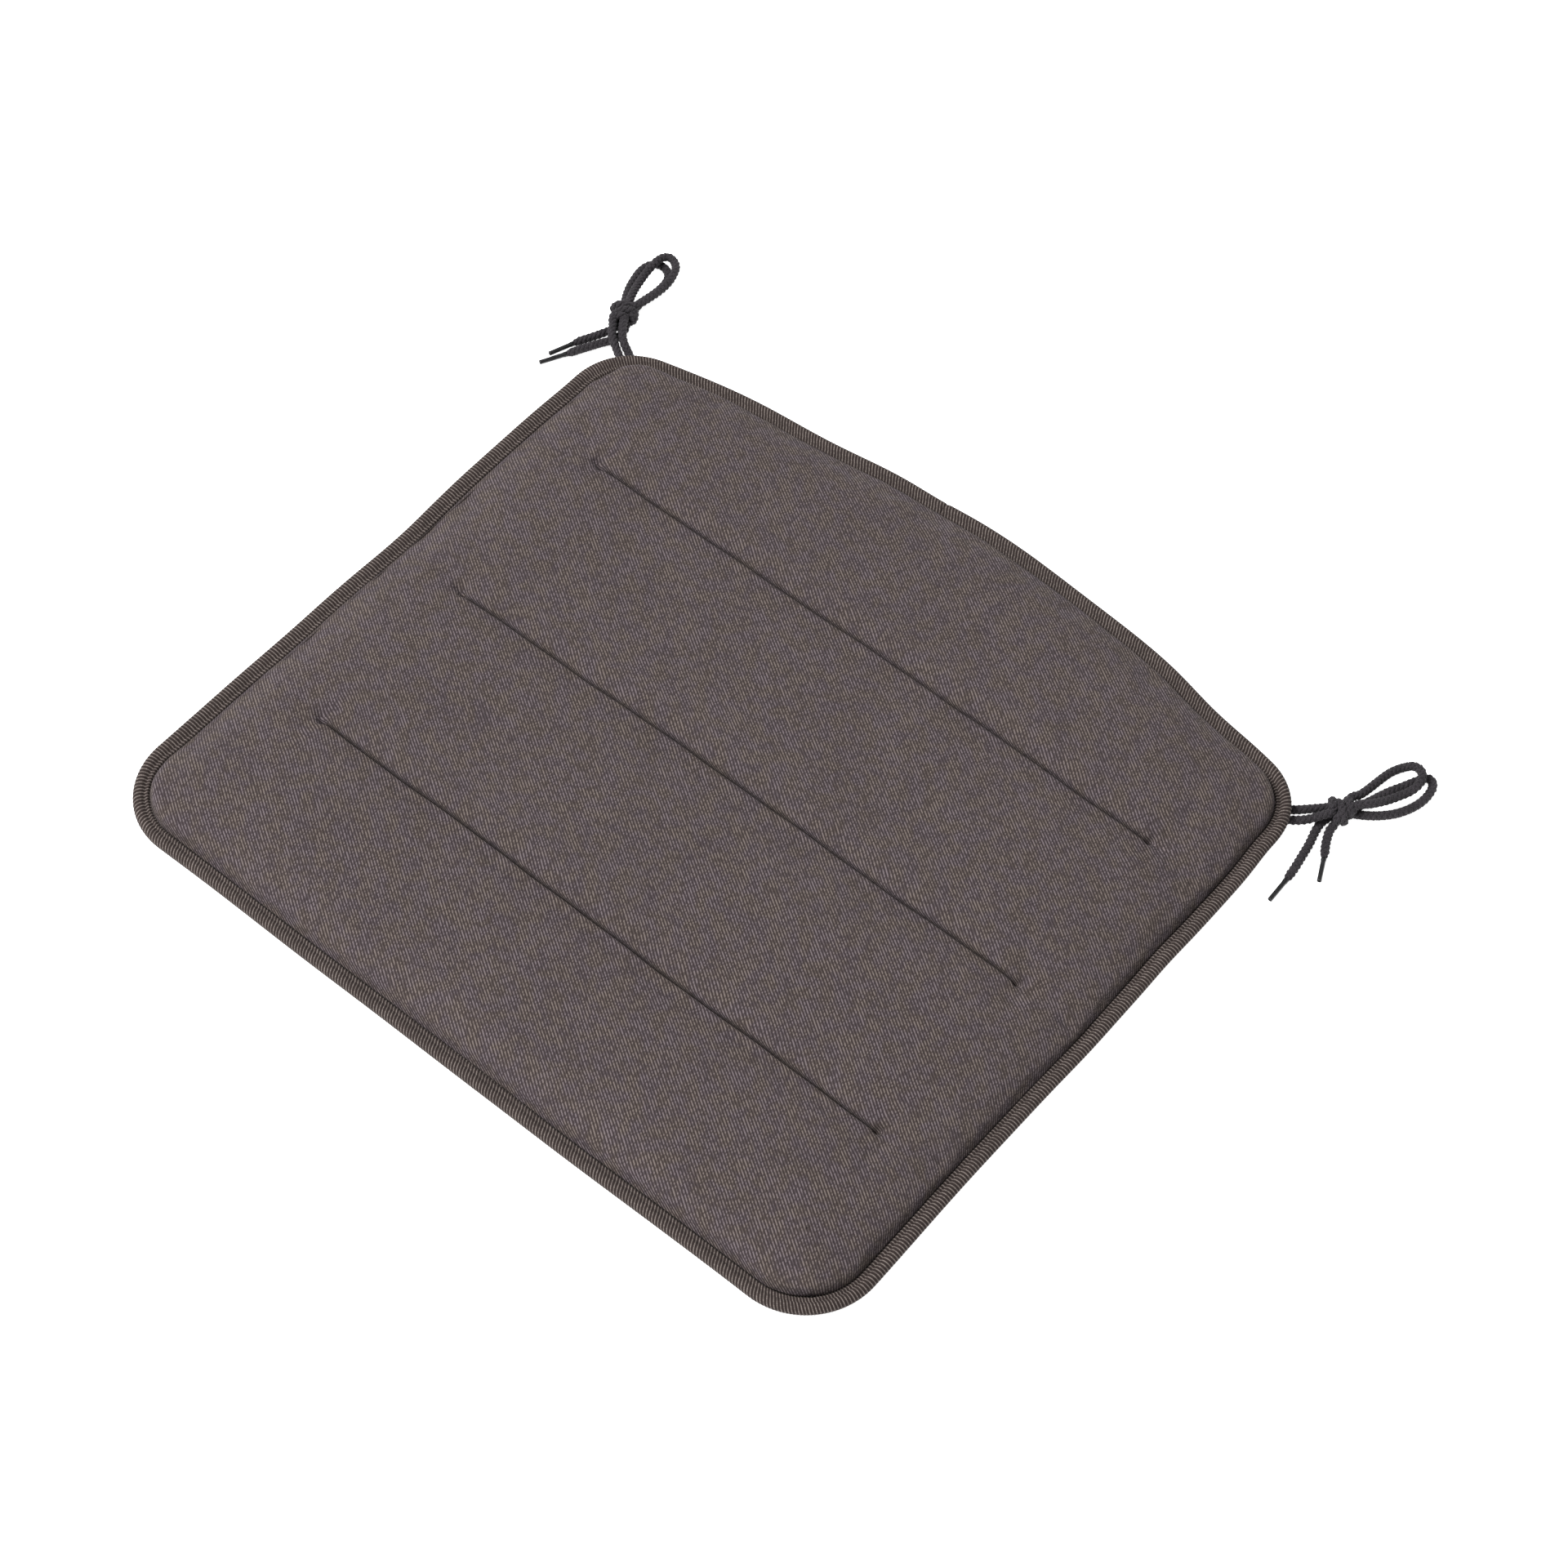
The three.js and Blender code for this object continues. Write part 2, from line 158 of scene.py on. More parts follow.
def smooth_line(points, step):
    """A centripetal Catmull-Rom line through the points, as points one step apart."""
    p = np.asarray(points, float)
    p = np.vstack([2 * p[0] - p[1], p, 2 * p[-1] - p[-2]])
    pieces = []
    for before, start, end, after in zip(p[:-3], p[1:-2], p[2:-1], p[3:]):
        gaps = [np.linalg.norm(b - a) ** 0.5 for a, b in ((before, start), (start, end), (end, after))]
        t0, t1, t2, t3 = np.cumsum([0, *gaps])
        t = np.linspace(t1, t2, 24, endpoint=False)[:, None]

        def blend(a, b, low, high):
            return (high - t) / (high - low) * a + (t - low) / (high - low) * b

        middle = blend(start, end, t1, t2)
        first = blend(blend(before, start, t0, t1), middle, t0, t2)
        last = blend(middle, blend(end, after, t2, t3), t1, t3)
        pieces.append(blend(first, last, t1, t2))
    line = np.vstack([*pieces, p[-2:-1]])
    along = distances_along(line)
    places = np.linspace(0, along[-1], max(2, round(along[-1] / step) + 1))
    return np.stack([np.interp(places, along, line[:, axis]) for axis in range(3)], 1), places


def directions_along(line):
    """Two unit directions across the line at each of its points, which don't twist along it."""
    tangent = unit(np.gradient(line, axis=0))
    side = np.cross(tangent[0], (0, 0, 1))
    sides = []
    for t in tangent:
        side = unit(side - t * (side @ t))
        sides.append(side)
    sides = np.array(sides)
    return sides, np.cross(tangent, sides)


# --- Node graphs for materials ---


class Value:
    """An output of a material node, which can be added, subtracted and multiplied."""

    def __init__(self, graph, socket):
        self.graph, self.socket = graph, socket

    def __add__(self, other):
        return self.graph.math("ADD", self, other)

    def __sub__(self, other):
        return self.graph.math("SUBTRACT", self, other)

    def __mul__(self, other):
        return self.graph.math("MULTIPLY", self, other)


class Graph:
    """A material's nodes. Its methods take values or plain numbers, and each one returns a value."""

    def __init__(self, name):
        self.material = bpy.data.materials.new(name)
        self.material.use_nodes = True
        self.tree = self.material.node_tree
        self.shader = self.tree.nodes["Principled BSDF"]

    def put(self, socket, value):
        if isinstance(value, Value):
            self.tree.links.new(value.socket, socket)
        else:
            socket.default_value = value

    def node(self, kind, inputs=(), output=0, **settings):
        node = self.tree.nodes.new(kind)
        for key, value in settings.items():
            setattr(node, key, value)
        for key, value in dict(inputs).items():
            self.put(node.inputs[key], value)
        return Value(self, node.outputs[output])

    def math(self, operation, *values):
        return self.node("ShaderNodeMath", enumerate(values), operation=operation)

    def floor(self, value):
        return self.math("FLOOR", value)

    def size(self, value):
        return self.math("ABSOLUTE", value)

    def wave(self, phase):
        """A cosine between 0 and 1, with its crest at each whole number."""
        return self.math("MULTIPLY_ADD", self.math("COSINE", phase * (2 * math.pi)), 0.5, 0.5)

    def step(self, value, low, high, to_low=0.0, to_high=1.0):
        inputs = {"Value": value, "From Min": low, "From Max": high, "To Min": to_low, "To Max": to_high}
        return self.node("ShaderNodeMapRange", inputs, interpolation_type="SMOOTHSTEP")

    def mark(self, name):
        return self.node("ShaderNodeAttribute", output="Vector", attribute_name=name)

    def position(self):
        return self.node("ShaderNodeNewGeometry", output="Position")

    def xyz(self, vector):
        parts = self.node("ShaderNodeSeparateXYZ", {0: vector}).socket.node
        return [Value(self, socket) for socket in parts.outputs]

    def vector(self, x, y=0.0, z=0.0):
        return self.node("ShaderNodeCombineXYZ", enumerate((x, y, z)))

    def noise(self, vector, scale, detail=2.0, roughness=0.5):
        inputs = {"Vector": vector, "Scale": scale, "Detail": detail, "Roughness": roughness}
        return self.node("ShaderNodeTexNoise", inputs)

    def random(self, vector):
        return self.node("ShaderNodeTexWhiteNoise", {"Vector": vector})

    def mix(self, share, a, b, blend="MIX"):
        """A colour between a and b. A share below 0 or above 1 counts as 0 or 1."""
        inputs = {"Factor": share, 6: a, 7: b}
        return self.node("ShaderNodeMix", inputs, output=2, data_type="RGBA", blend_type=blend)

    def tint(self, colour, factor):
        """The colour made brighter or darker by a factor."""
        grey = self.node("ShaderNodeCombineColor", enumerate((factor, factor, factor)))
        return self.mix(1.0, colour, grey, "MULTIPLY")

    def finish(self, colour, roughness, relief=None, depth=0.0, **constants):
        """Sets the shader's inputs. The relief is a height from 0 to 1, which stands for the depth."""
        self.put(self.shader.inputs["Base Color"], colour)
        self.put(self.shader.inputs["Roughness"], roughness)
        if relief:
            bump = self.node("ShaderNodeBump", {"Height": relief, "Distance": depth, "Strength": 1.0})
            self.put(self.shader.inputs["Normal"], bump)
        for key, value in constants.items():
            self.shader.inputs[key.replace("_", " ")].default_value = value
        return self.material


def rgb(red, green, blue):
    return (red, green, blue, 1.0)


# --- The pad's outline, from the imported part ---

BACK_EDGE_RADIUS = 813 * MM
BACK_CORNER_RADIUS = 35 * MM
FRONT_CORNER_RADIUS = 37 * MM

sleeve_low, sleeve_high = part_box("piping_sleeve")
top_low, top_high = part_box("cover_top")
SEAM_Z = (sleeve_low.z + sleeve_high.z) / 2
BEAD_RADIUS = (sleeve_high.z - sleeve_low.z) / 2
HALF_WIDTH = sleeve_high.x - BEAD_RADIUS
HALF_DEPTH = -sleeve_low.y - BEAD_RADIUS
COVER_INSET = HALF_WIDTH - top_high.x
PAD_TOP = top_high.z
TOP_BASE = top_low.z
UNDER_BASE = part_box("cover_underside")[1].z
CLOTH = 0.9 * MM

# Circles of the outline: the place of the centre, and the radius at the middle line of the piping
_back_x = HALF_WIDTH - BACK_CORNER_RADIUS
_back_centre_y = HALF_DEPTH - BACK_EDGE_RADIUS
_back_y = _back_centre_y + math.sqrt((BACK_EDGE_RADIUS - BACK_CORNER_RADIUS) ** 2 - _back_x ** 2)
_front_x, _front_y = HALF_WIDTH - FRONT_CORNER_RADIUS, -HALF_DEPTH + FRONT_CORNER_RADIUS
BACK = (0.0, _back_centre_y, BACK_EDGE_RADIUS)
BACK_LEFT, BACK_RIGHT = ((x, _back_y, BACK_CORNER_RADIUS) for x in (-_back_x, _back_x))
FRONT_LEFT, FRONT_RIGHT = ((x, _front_y, FRONT_CORNER_RADIUS) for x in (-_front_x, _front_x))
# How far round, in degrees, the right-hand back corner meets the curved back edge
TURN = math.degrees(math.atan2(_back_y - _back_centre_y, _back_x))

# Each side runs from the middle of one corner to the middle of the next, front to back and left to right
SIDES = {
    "front": [(FRONT_LEFT, 225, 270), (FRONT_RIGHT, 270, 315)],
    "right": [(FRONT_RIGHT, -45, 0), (BACK_RIGHT, 0, TURN / 2)],
    "back": [(BACK_LEFT, 180 - TURN / 2, 180 - TURN), (BACK, 180 - TURN, TURN), (BACK_RIGHT, TURN, TURN / 2)],
    "left": [(FRONT_LEFT, 225, 180), (BACK_LEFT, 180, 180 - TURN / 2)],
}
ARC_POINTS = 60


def trace(arcs, inset):
    """Distances, points and outward normals along a chain of arcs that straight lines join, moved inwards."""
    points, normals = [], []
    for (x, y, radius), first, last in arcs:
        turn = np.radians(np.linspace(first, last, ARC_POINTS))
        normal = np.stack([np.cos(turn), np.sin(turn)], 1)
        points.append(np.array([x, y]) + normal * (radius - inset))
        normals.append(normal)
    points = np.vstack(points)
    return distances_along(points), points, np.vstack(normals)


def along_trace(traced, distances):
    """Points and unit normals of a traced line at these distances from its start."""
    place, points, normals = traced
    at = [np.interp(distances, place, column) for column in (*points.T, *normals.T)]
    return np.stack(at[:2], -1), unit(np.stack(at[2:], -1))


def side_points(side, inset, shares):
    traced = trace(SIDES[side], inset)
    return along_trace(traced, np.asarray(shares) * traced[0][-1])


# --- Ties: a folded braided cord at each back corner, in a slipped half bow ---

KNOT_Z = 5.5 * MM
LEG_HEIGHT = 5 * MM
LEG_SPACING = 5.2 * MM
LEG_INNER_REACH = 8.4 * MM
FOLD_REACH = 11.3 * MM
AGLET_GAP = 0.6 * MM
# A cord that rests on the surface below has its middle at this height
RESTING_Z = 2.4 * MM
# Route points outside the knots, as in the part. The ones without a height rest on the surface below
TIES = {
    "left": {
        "side": -1, "exit_angle": 47.5, "returns": (1, 0),
        "knot": (-0.231, 0.1895), "knot_direction": (-0.6, 0.8),
        "legs": [
            [(-0.216, 0.168, 0.0048), (-0.221, 0.1709, 0.0064), (-0.2254, 0.1739, 0.0074),
             (-0.229, 0.1786, 0.0076), (-0.2328, 0.1832, 0.0078)],
            [(-0.2124, 0.1718, 0.0048), (-0.2174, 0.1742, 0.0064), (-0.2216, 0.1776, 0.0074),
             (-0.225, 0.1818, 0.0076), (-0.2276, 0.1862, 0.0074)],
        ],
        "loops": [
            [(-0.2365, 0.1962, 0.0034), (-0.2394, 0.2003, 0.0026), (-0.2423, 0.2061), (-0.2444, 0.2127),
             (-0.2456, 0.219), (-0.245, 0.2238), (-0.2427, 0.2272), (-0.2392, 0.2286), (-0.2351, 0.2278),
             (-0.2321, 0.2255), (-0.2304, 0.2218), (-0.2298, 0.2174), (-0.2299, 0.2125), (-0.2305, 0.2075),
             (-0.2311, 0.2028, 0.0026), (-0.2306, 0.1975, 0.0028)],
            [(-0.2334, 0.1962, 0.0064), (-0.2353, 0.2, 0.0066), (-0.2381, 0.2066, 0.0054),
             (-0.2397, 0.2127, 0.0052), (-0.2404, 0.2181, 0.006), (-0.2405, 0.2228, 0.0071),
             (-0.2406, 0.2271, 0.0072), (-0.2402, 0.2311, 0.0062), (-0.2383, 0.2334, 0.0056),
             (-0.2342, 0.2326, 0.0062), (-0.2303, 0.2295, 0.007), (-0.228, 0.2251, 0.0072),
             (-0.2266, 0.2198, 0.0072), (-0.2262, 0.2145, 0.0072), (-0.2266, 0.209, 0.0072),
             (-0.2275, 0.2036, 0.0072), (-0.2285, 0.1993, 0.007)],
        ],
        "ends": [
            [(-0.2256, 0.1835), (-0.225, 0.1776), (-0.2265, 0.1735), (-0.2293, 0.1689), (-0.2322, 0.1635),
             (-0.2351, 0.1581), (-0.2381, 0.1518)],
            [(-0.2302, 0.186, 0.003), (-0.2304, 0.1814), (-0.2315, 0.1778), (-0.2334, 0.1735),
             (-0.2358, 0.1685), (-0.2383, 0.1636), (-0.2401, 0.159)],
        ],
        "tips": [(-0.2446, 0.1395), (-0.2447, 0.147)],
    },
    "right": {
        "side": 1, "exit_angle": 36.5, "returns": (0, 1),
        "knot": (0.2298, 0.1771), "knot_direction": (0.75, 0.66),
        "legs": [
            [(0.2102, 0.1621, 0.0048), (0.2138, 0.1647, 0.0052), (0.2168, 0.1674, 0.0055),
             (0.2202, 0.1708, 0.0056), (0.2242, 0.1752, 0.0056)],
            [(0.2128, 0.1572, 0.0048), (0.2169, 0.1591, 0.0058), (0.2208, 0.1619, 0.007),
             (0.2236, 0.1654, 0.0076), (0.2259, 0.1693, 0.0077), (0.2276, 0.1726, 0.0073)],
        ],
        "loops": [
            [(0.2292, 0.1856, 0.0058), (0.2312, 0.1911, 0.0046), (0.2323, 0.1974, 0.004),
             (0.2331, 0.2041, 0.0034), (0.2346, 0.2119, 0.003), (0.2377, 0.2174, 0.0036),
             (0.2416, 0.2201, 0.0054), (0.2461, 0.2192, 0.007), (0.2491, 0.2157, 0.0074),
             (0.2499, 0.2115, 0.0072), (0.2489, 0.2069, 0.0064), (0.2461, 0.2012, 0.0058),
             (0.2429, 0.1944, 0.0066), (0.2386, 0.1879, 0.0074), (0.2344, 0.1833, 0.0077)],
            [(0.234, 0.181, 0.0025), (0.2398, 0.1846), (0.2454, 0.1893), (0.2497, 0.1943), (0.2531, 0.2005),
             (0.2552, 0.2074), (0.2554, 0.2136), (0.2542, 0.2184), (0.2515, 0.2208), (0.2488, 0.2196),
             (0.2464, 0.2154), (0.2435, 0.2093), (0.2406, 0.2035), (0.2384, 0.198), (0.2364, 0.1923),
             (0.234, 0.1863)],
        ],
        "ends": [
            [(0.2264, 0.1712), (0.2257, 0.1668), (0.2266, 0.161), (0.2284, 0.154), (0.2297, 0.1466),
             (0.231, 0.1388), (0.2319, 0.1302)],
            [(0.2308, 0.1722, 0.0028), (0.2314, 0.1664), (0.2343, 0.1593), (0.2372, 0.1542),
             (0.2386, 0.1515)],
        ],
        "tips": [(0.2324, 0.1172), (0.244, 0.1404)],
    },
}

# Inside a knot each strand winds as these points say: along the tie, across it and up from the knot's middle
KNOT_TURNS = [
    [(-0.8, -3.0, 2.4), (0.0, 0.0, 3.4), (0.3, 3.6, 2.7), (0.7, 5.6, 0.2), (1.2, 4.2, -2.5), (1.8, 0.2, -3.3),
     (2.6, -3.8, -2.7), (3.4, -5.5, -0.2), (3.8, -3.8, 2.4), (3.9, -0.6, 3.1), (3.6, 2.1, 2.1),
     (3.0, 2.2, 0.0), (3.6, 0.0, -1.2)],
    [(-4.6, 1.2, 2.0), (-3.8, -0.6, 3.2), (-3.7, -3.8, 2.4), (-3.5, -5.5, 0.0), (-3.1, -4.2, -2.6),
     (-2.7, -0.4, -3.3), (-2.5, 3.6, -2.7), (-2.5, 5.5, -0.2), (-1.8, 4.4, 1.6), (0.0, 2.6, 0.8),
     (2.0, 0.9, 0.6)],
]
KNOT_RETURNS = [
    [(3.2, 2.6, 0.9), (0.8, 1.2, -0.2), (-1.6, -0.2, -1.2)],
    [(3.4, 1.6, -1.8), (0.4, 1.4, -1.6), (-2.4, 1.6, -1.8)],
]

# The braid: carriers that turn each way and pass over and under each other
BRAID_LEAD = 10.2 * MM
BRAID_CARRIERS = 4
BRAID_RADIUS = 1.36 * MM
BRAID_WEAVE = 0.40 * MM
YARN_HALF_WIDTH = 0.86 * MM
YARN_HALF_THICKNESS = 0.60 * MM
YARN_SIDES = 8
BRAID_STEP = 0.34 * MM
BRAID_CORE_RADIUS = 1.0 * MM
CORE_SIDES = 10
FILAMENT_PITCH = 1.1 * MM
BRAID_DARK = (0.0110, 0.0092, 0.0115)
BRAID_LIGHT = (0.0860, 0.0745, 0.0860)
# The share by which a braid gets thinner where it goes into its plastic tip, and over what length
TIP_TAPER = 0.48
TIP_TAPER_LENGTH = 5 * MM


def tie_root(tie):
    """Where the tie's two legs leave the seam, the direction out of the corner and the one across it."""
    angle = math.radians(tie["exit_angle"])
    out = np.array([tie["side"] * math.cos(angle), math.sin(angle), 0])
    across = np.array([-out[1], out[0], 0])
    corner = np.array([tie["side"] * BACK_RIGHT[0], BACK_RIGHT[1], LEG_HEIGHT])
    return corner + out * BACK_RIGHT[2], out, across


def at_height(point):
    return np.array([*point, RESTING_Z][:3])


def strand_route(tie, index):
    """One strand from the fold inside the pad to its tip: leg, knot, loop, knot, end."""
    seam, out, across = tie_root(tie)
    share = (1, -1)[index] * LEG_SPACING / 2
    ahead = unit(np.array([*tie["knot_direction"], 0]))
    aside = np.array([ahead[1], -ahead[0], 0])
    middle = np.array([*tie["knot"], KNOT_Z])

    def in_knot(points):
        return [middle + (ahead * a + aside * b + np.array([0, 0, c])) * MM for a, b, c in points]

    legs, loops, ends = ([at_height(p) for p in tie[key][index]] for key in ("legs", "loops", "ends"))
    last = ends[-1] + unit(at_height(tie["tips"][index]) - ends[-1]) * AGLET_GAP
    leg_exit = seam + across * share
    inside_pad = [seam - out * FOLD_REACH, leg_exit - out * LEG_INNER_REACH, leg_exit]
    into_knot, back_in_knot = in_knot(KNOT_TURNS[index]), in_knot(KNOT_RETURNS[tie["returns"][index]])
    return [*inside_pad, *legs, *into_knot, *loops, *back_in_knot, *ends, last]


def braid(name, line, places, material):
    """A round braid along a line. Its mark holds the place along a yarn, round it, and the yarn's number."""
    side, up = directions_along(line)
    slim = 1 - TIP_TAPER * (1 - smoothstep(0, TIP_TAPER_LENGTH, places[-1] - places))[:, None]
    phase = 2 * math.pi * places / BRAID_LEAD
    parts, marks = [], []
    for way in (1, -1):
        radius = BRAID_RADIUS + way * BRAID_WEAVE * np.cos(BRAID_CARRIERS * phase)
        for carrier in range(BRAID_CARRIERS):
            angle = way * phase + 2 * math.pi * carrier / BRAID_CARRIERS
            outwards = turned(side, up, angle)
            middle = line + outwards * radius[:, None] * slim
            heading = unit(np.gradient(middle, axis=0))
            width = unit(np.cross(outwards, heading))
            thickness = np.cross(heading, width) * YARN_HALF_THICKNESS
            parts.append(rings_round(middle, width * YARN_HALF_WIDTH * slim, thickness * slim, YARN_SIDES))
            mark = np.zeros((len(line), YARN_SIDES, 3))
            mark[..., 0] = places[:, None]
            mark[..., 1] = np.arange(YARN_SIDES) / YARN_SIDES
            mark[..., 2] = carrier + way * 0.5
            marks.append(mark.reshape(-1, 3))
    core = BRAID_CORE_RADIUS * slim
    parts.append(rings_round(line, side * core, up * core, CORE_SIDES))
    marks.append(np.zeros((len(line) * CORE_SIDES, 3)))
    return mesh_piece(name, *tubes(parts), material, "tie_braid", yarn=np.vstack(marks))


AGLET_SIDES = 20
# Profile of a tip: share of its length, and radius in millimetres. It is crimped near the cord
AGLET_PROFILE = [(-0.10, 0.9), (-0.10, 1.3), (-0.02, 1.34), (0.03, 1.2), (0.10, 1.12), (0.16, 1.17),
                 (0.5, 1.15), (0.93, 1.13), (0.985, 1.17), (1.0, 1.1), (1.0, 0.8), (0.90, 0.72), (0.89, 0.1)]


def aglet(name, start, tip, material):
    """A rolled plastic tip: a thin-walled tube with an overlap along it, hollow at its free end."""
    axis = tip - start
    side = unit(np.cross(axis, (0, 0, 1)))
    up = np.cross(side, unit(axis))
    turns = np.linspace(0, 2 * math.pi, AGLET_SIDES, endpoint=False)
    overlap = 1 + 0.05 * smoothstep(0, 0.4, turns) * (1 - smoothstep(2.2, 2.5, turns))
    ring = turned(side, up, turns) * (MM * overlap[:, None])
    rings = np.stack([start + axis * share + ring * radius for share, radius in AGLET_PROFILE])
    return mesh_piece(name, *tubes([rings]), material, "aglet_plastic")


def braid_material():
    graph = Graph("tie_braid")
    along, round_it, number = graph.xyz(graph.mark("yarn"))
    # Twisted filaments run slantwise over each yarn
    plies = graph.wave(along * (1 / FILAMENT_PITCH) + round_it * 4)
    fibres = graph.noise(graph.position(), 2600, 3, 0.65)
    blotches = graph.noise(graph.position(), 160, 2)
    yarn_tone = graph.random(graph.vector(number, 0.5))
    tone = plies * 0.15 + fibres * 0.45 + (yarn_tone * 0.12 + blotches * 0.25)
    colour = graph.mix(graph.step(tone, 0.22, 0.98), rgb(*BRAID_DARK), rgb(*BRAID_LIGHT))
    roughness = graph.step(fibres, 0.2, 0.8, 0.72, 0.92)
    return graph.finish(colour, roughness, plies * 0.4 + fibres * 0.5, 0.05 * MM, Sheen_Weight=0.12,
                        Sheen_Roughness=0.45, Specular_IOR_Level=0.35)


def aglet_material():
    graph = Graph("aglet_plastic")
    scuffs = graph.noise(graph.position(), 900, 3, 0.6)
    haze = graph.noise(graph.position(), 240, 2)
    colour = graph.mix(graph.step(scuffs, 0.5, 0.8), rgb(0.0085, 0.0085, 0.0095), rgb(0.03, 0.03, 0.033))
    roughness = graph.step(scuffs + haze, 0.6, 1.5, 0.22, 0.5)
    return graph.finish(colour, roughness, scuffs, 0.02 * MM, Specular_IOR_Level=0.5)


def make_ties():
    braid_finish, plastic = braid_material(), aglet_material()
    for side, tie in TIES.items():
        seam, _, across = tie_root(tie)
        for index in (0, 1):
            number = index + 1
            line, places = smooth_line(strand_route(tie, index), BRAID_STEP)
            end = aglet(f"tie_{side}_tip_{number}", line[-1], at_height(tie["tips"][index]), plastic)
            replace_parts(end, f"tie_{side}_aglet_{number}")
            strand = braid(f"tie_{side}_strand_{number}", line, places, braid_finish)
            parts = [f"tie_{side}_{part}_{number}" for part in ("leg", "loop", "end")]
            if index == 0:
                parts += [f"tie_{side}_knot", f"tie_{side}_sewn_fold"]
            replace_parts(strand, *parts)
            exit_point = seam + across * (1, -1)[index] * LEG_SPACING / 2


# --- Twill: short floats of a light yarn that step sideways from row to row, over a darker ground ---

RIB_PITCH = 1.37 * MM
RIB_ANGLE = math.radians(57.6)
YARN_PITCH = 0.66 * MM
STEP_SHARE = 0.35
TWILL_DARK = (0.0450, 0.0342, 0.0344)
TWILL_LIGHT = (0.208, 0.173, 0.169)
TWILL_RELIEF = 0.22 * MM
# Painted shade: the dark brown that the cover's colour turns to deep in the channel clefts, standing in for
# the shadow there
CLEFT_PAINTED_SHADE = (0.022, 0.0125, 0.0105)
# The cloth's hue wanders between these two tints
OLIVE = (1.03, 1.01, 0.93)
PURPLE = (0.98, 0.97, 1.06)
MATT_CLOTH = {"Sheen_Weight": 0.03, "Sheen_Roughness": 0.5, "Specular_IOR_Level": 0.15}


def twill(graph, x, y):
    """Height of the weave at a place on the flat cloth, and a random number for the float that lies there."""
    yarns = x * (1 / YARN_PITCH)
    yarn = graph.floor(yarns)
    in_yarn = graph.math("FRACT", yarns) - 0.5
    # Part of the way sideways is taken in steps from yarn to yarn, and the rest along the slanting float
    slant = (yarn + 0.5) * (YARN_PITCH * STEP_SHARE) + x * (1 - STEP_SHARE)
    waver = (graph.noise(graph.vector(x, y), 90, 2) - 0.5) * (0.25 * MM)
    phase = slant * (math.cos(RIB_ANGLE) / RIB_PITCH) + (y + waver) * (math.sin(RIB_ANGLE) / RIB_PITCH)
    number = graph.floor(phase + 0.5)
    crest = graph.step(graph.size(phase - number), 0.06, 0.36, 1.0, 0.0)
    round_top = graph.math("MULTIPLY_ADD", in_yarn * in_yarn, -1.1, 1.0)
    return crest * round_top, graph.random(graph.vector(yarn, number))


def twill_material(name, dark, light):
    graph = Graph(name)
    place = graph.mark("cloth")
    x, y, depth = graph.xyz(place)
    height, random = twill(graph, x, y)
    fibres = graph.noise(graph.vector(x * 3.0, y), 1500, 3, 0.6)
    slubs = graph.noise(graph.vector(x * 0.12, y), 1100, 2)
    mottle = graph.noise(place, 38, 3, 0.55)
    hue = graph.noise(graph.vector(x, y, 0.3), 110, 3)
    worn = graph.step(graph.noise(graph.vector(x, y, 1.7), 30, 2), 0.3, 0.7, 0.93, 1.05)
    lightness = height * graph.step(random, 0.0, 1.0, 0.32, 1.36) * worn
    lightness = lightness + (fibres - 0.5) * 0.42 + (slubs - 0.5) * 0.25
    colour = graph.mix(lightness, rgb(*dark), rgb(*light))
    tint = graph.mix(graph.step(hue, 0.35, 0.65), rgb(*OLIVE), rgb(*PURPLE))
    colour = graph.mix(1.0, colour, tint, "MULTIPLY")
    colour = graph.tint(colour, graph.step(mottle, 0.25, 0.75, 0.97, 1.03))
    # Painted shade: deep in a channel's cleft the colour is mixed towards a dark brown, for the shade that
    # falls there
    colour = graph.mix(graph.step(depth, 2.0 * MM, 5.5 * MM, 0.0, 0.9), colour, rgb(*CLEFT_PAINTED_SHADE))
    rough = graph.step(fibres, 0.2, 0.8, 0.78, 0.95)
    return graph.finish(colour, rough, height + fibres * 0.35, TWILL_RELIEF, **MATT_CLOTH)


# --- Covers: a grid of points for each panel, in rings along its edge and rows along its channels ---

CHANNELS = ("back", "middle", "front")
RINGS = 32
COLUMNS = 360
# Rows between the edge rings, the three channels and the edge rings again, from the front to the back
ZONE_ROWS = (36, 60, 60, 36)
ROW_GRADING = 0.8
INNER_INSET = 34 * MM
OUTER_ROW_STEP = 1.3 * MM
THINNING = 4

ROWS = 2 * RINGS + sum(ZONE_ROWS)
CHANNEL_ROWS = [int(n) for n in RINGS + np.cumsum(ZONE_ROWS[:-1])]
channel_boxes = [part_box(f"channel_{name}_needle_thread") for name in CHANNELS]
CHANNEL_YS = {name: (low.y + high.y) / 2 for name, (low, high) in zip(CHANNELS, channel_boxes)}
CHANNEL_MIDDLE = (channel_boxes[0][0].x + channel_boxes[0][1].x) / 2
CHANNEL_FADE = 7 * MM
CHANNEL_END = channel_boxes[0][1].x - CHANNEL_MIDDLE + CHANNEL_FADE
# How far from a channel the cloth still moves, the spare cloth is used up, and the channel's bends are felt
CHANNEL_REACH = 48 * MM
SPARE_REACH = 6 * MM
BEND_REACH = 25 * MM
# How much cloth a profile is worked out for, at an edge and next to a channel
EDGE_CLOTH, CHANNEL_CLOTH = 0.06, 0.12
PROFILE_STEP = 0.02 * MM


def fold(profile, length):
    """A cloth profile that starts at its angle in degrees and levels out: distance along it, run and rise."""
    along = np.arange(0, length + PROFILE_STEP, PROFILE_STEP)
    levelled = smoothstep(profile["straight_to"], profile["flat_from"], along)
    slope = (np.radians(profile["angle"]) * (1 - levelled))[:-1]
    run, rise = (np.append(0, np.cumsum(part(slope)) * PROFILE_STEP) for part in (np.cos, np.sin))
    return along, run, rise


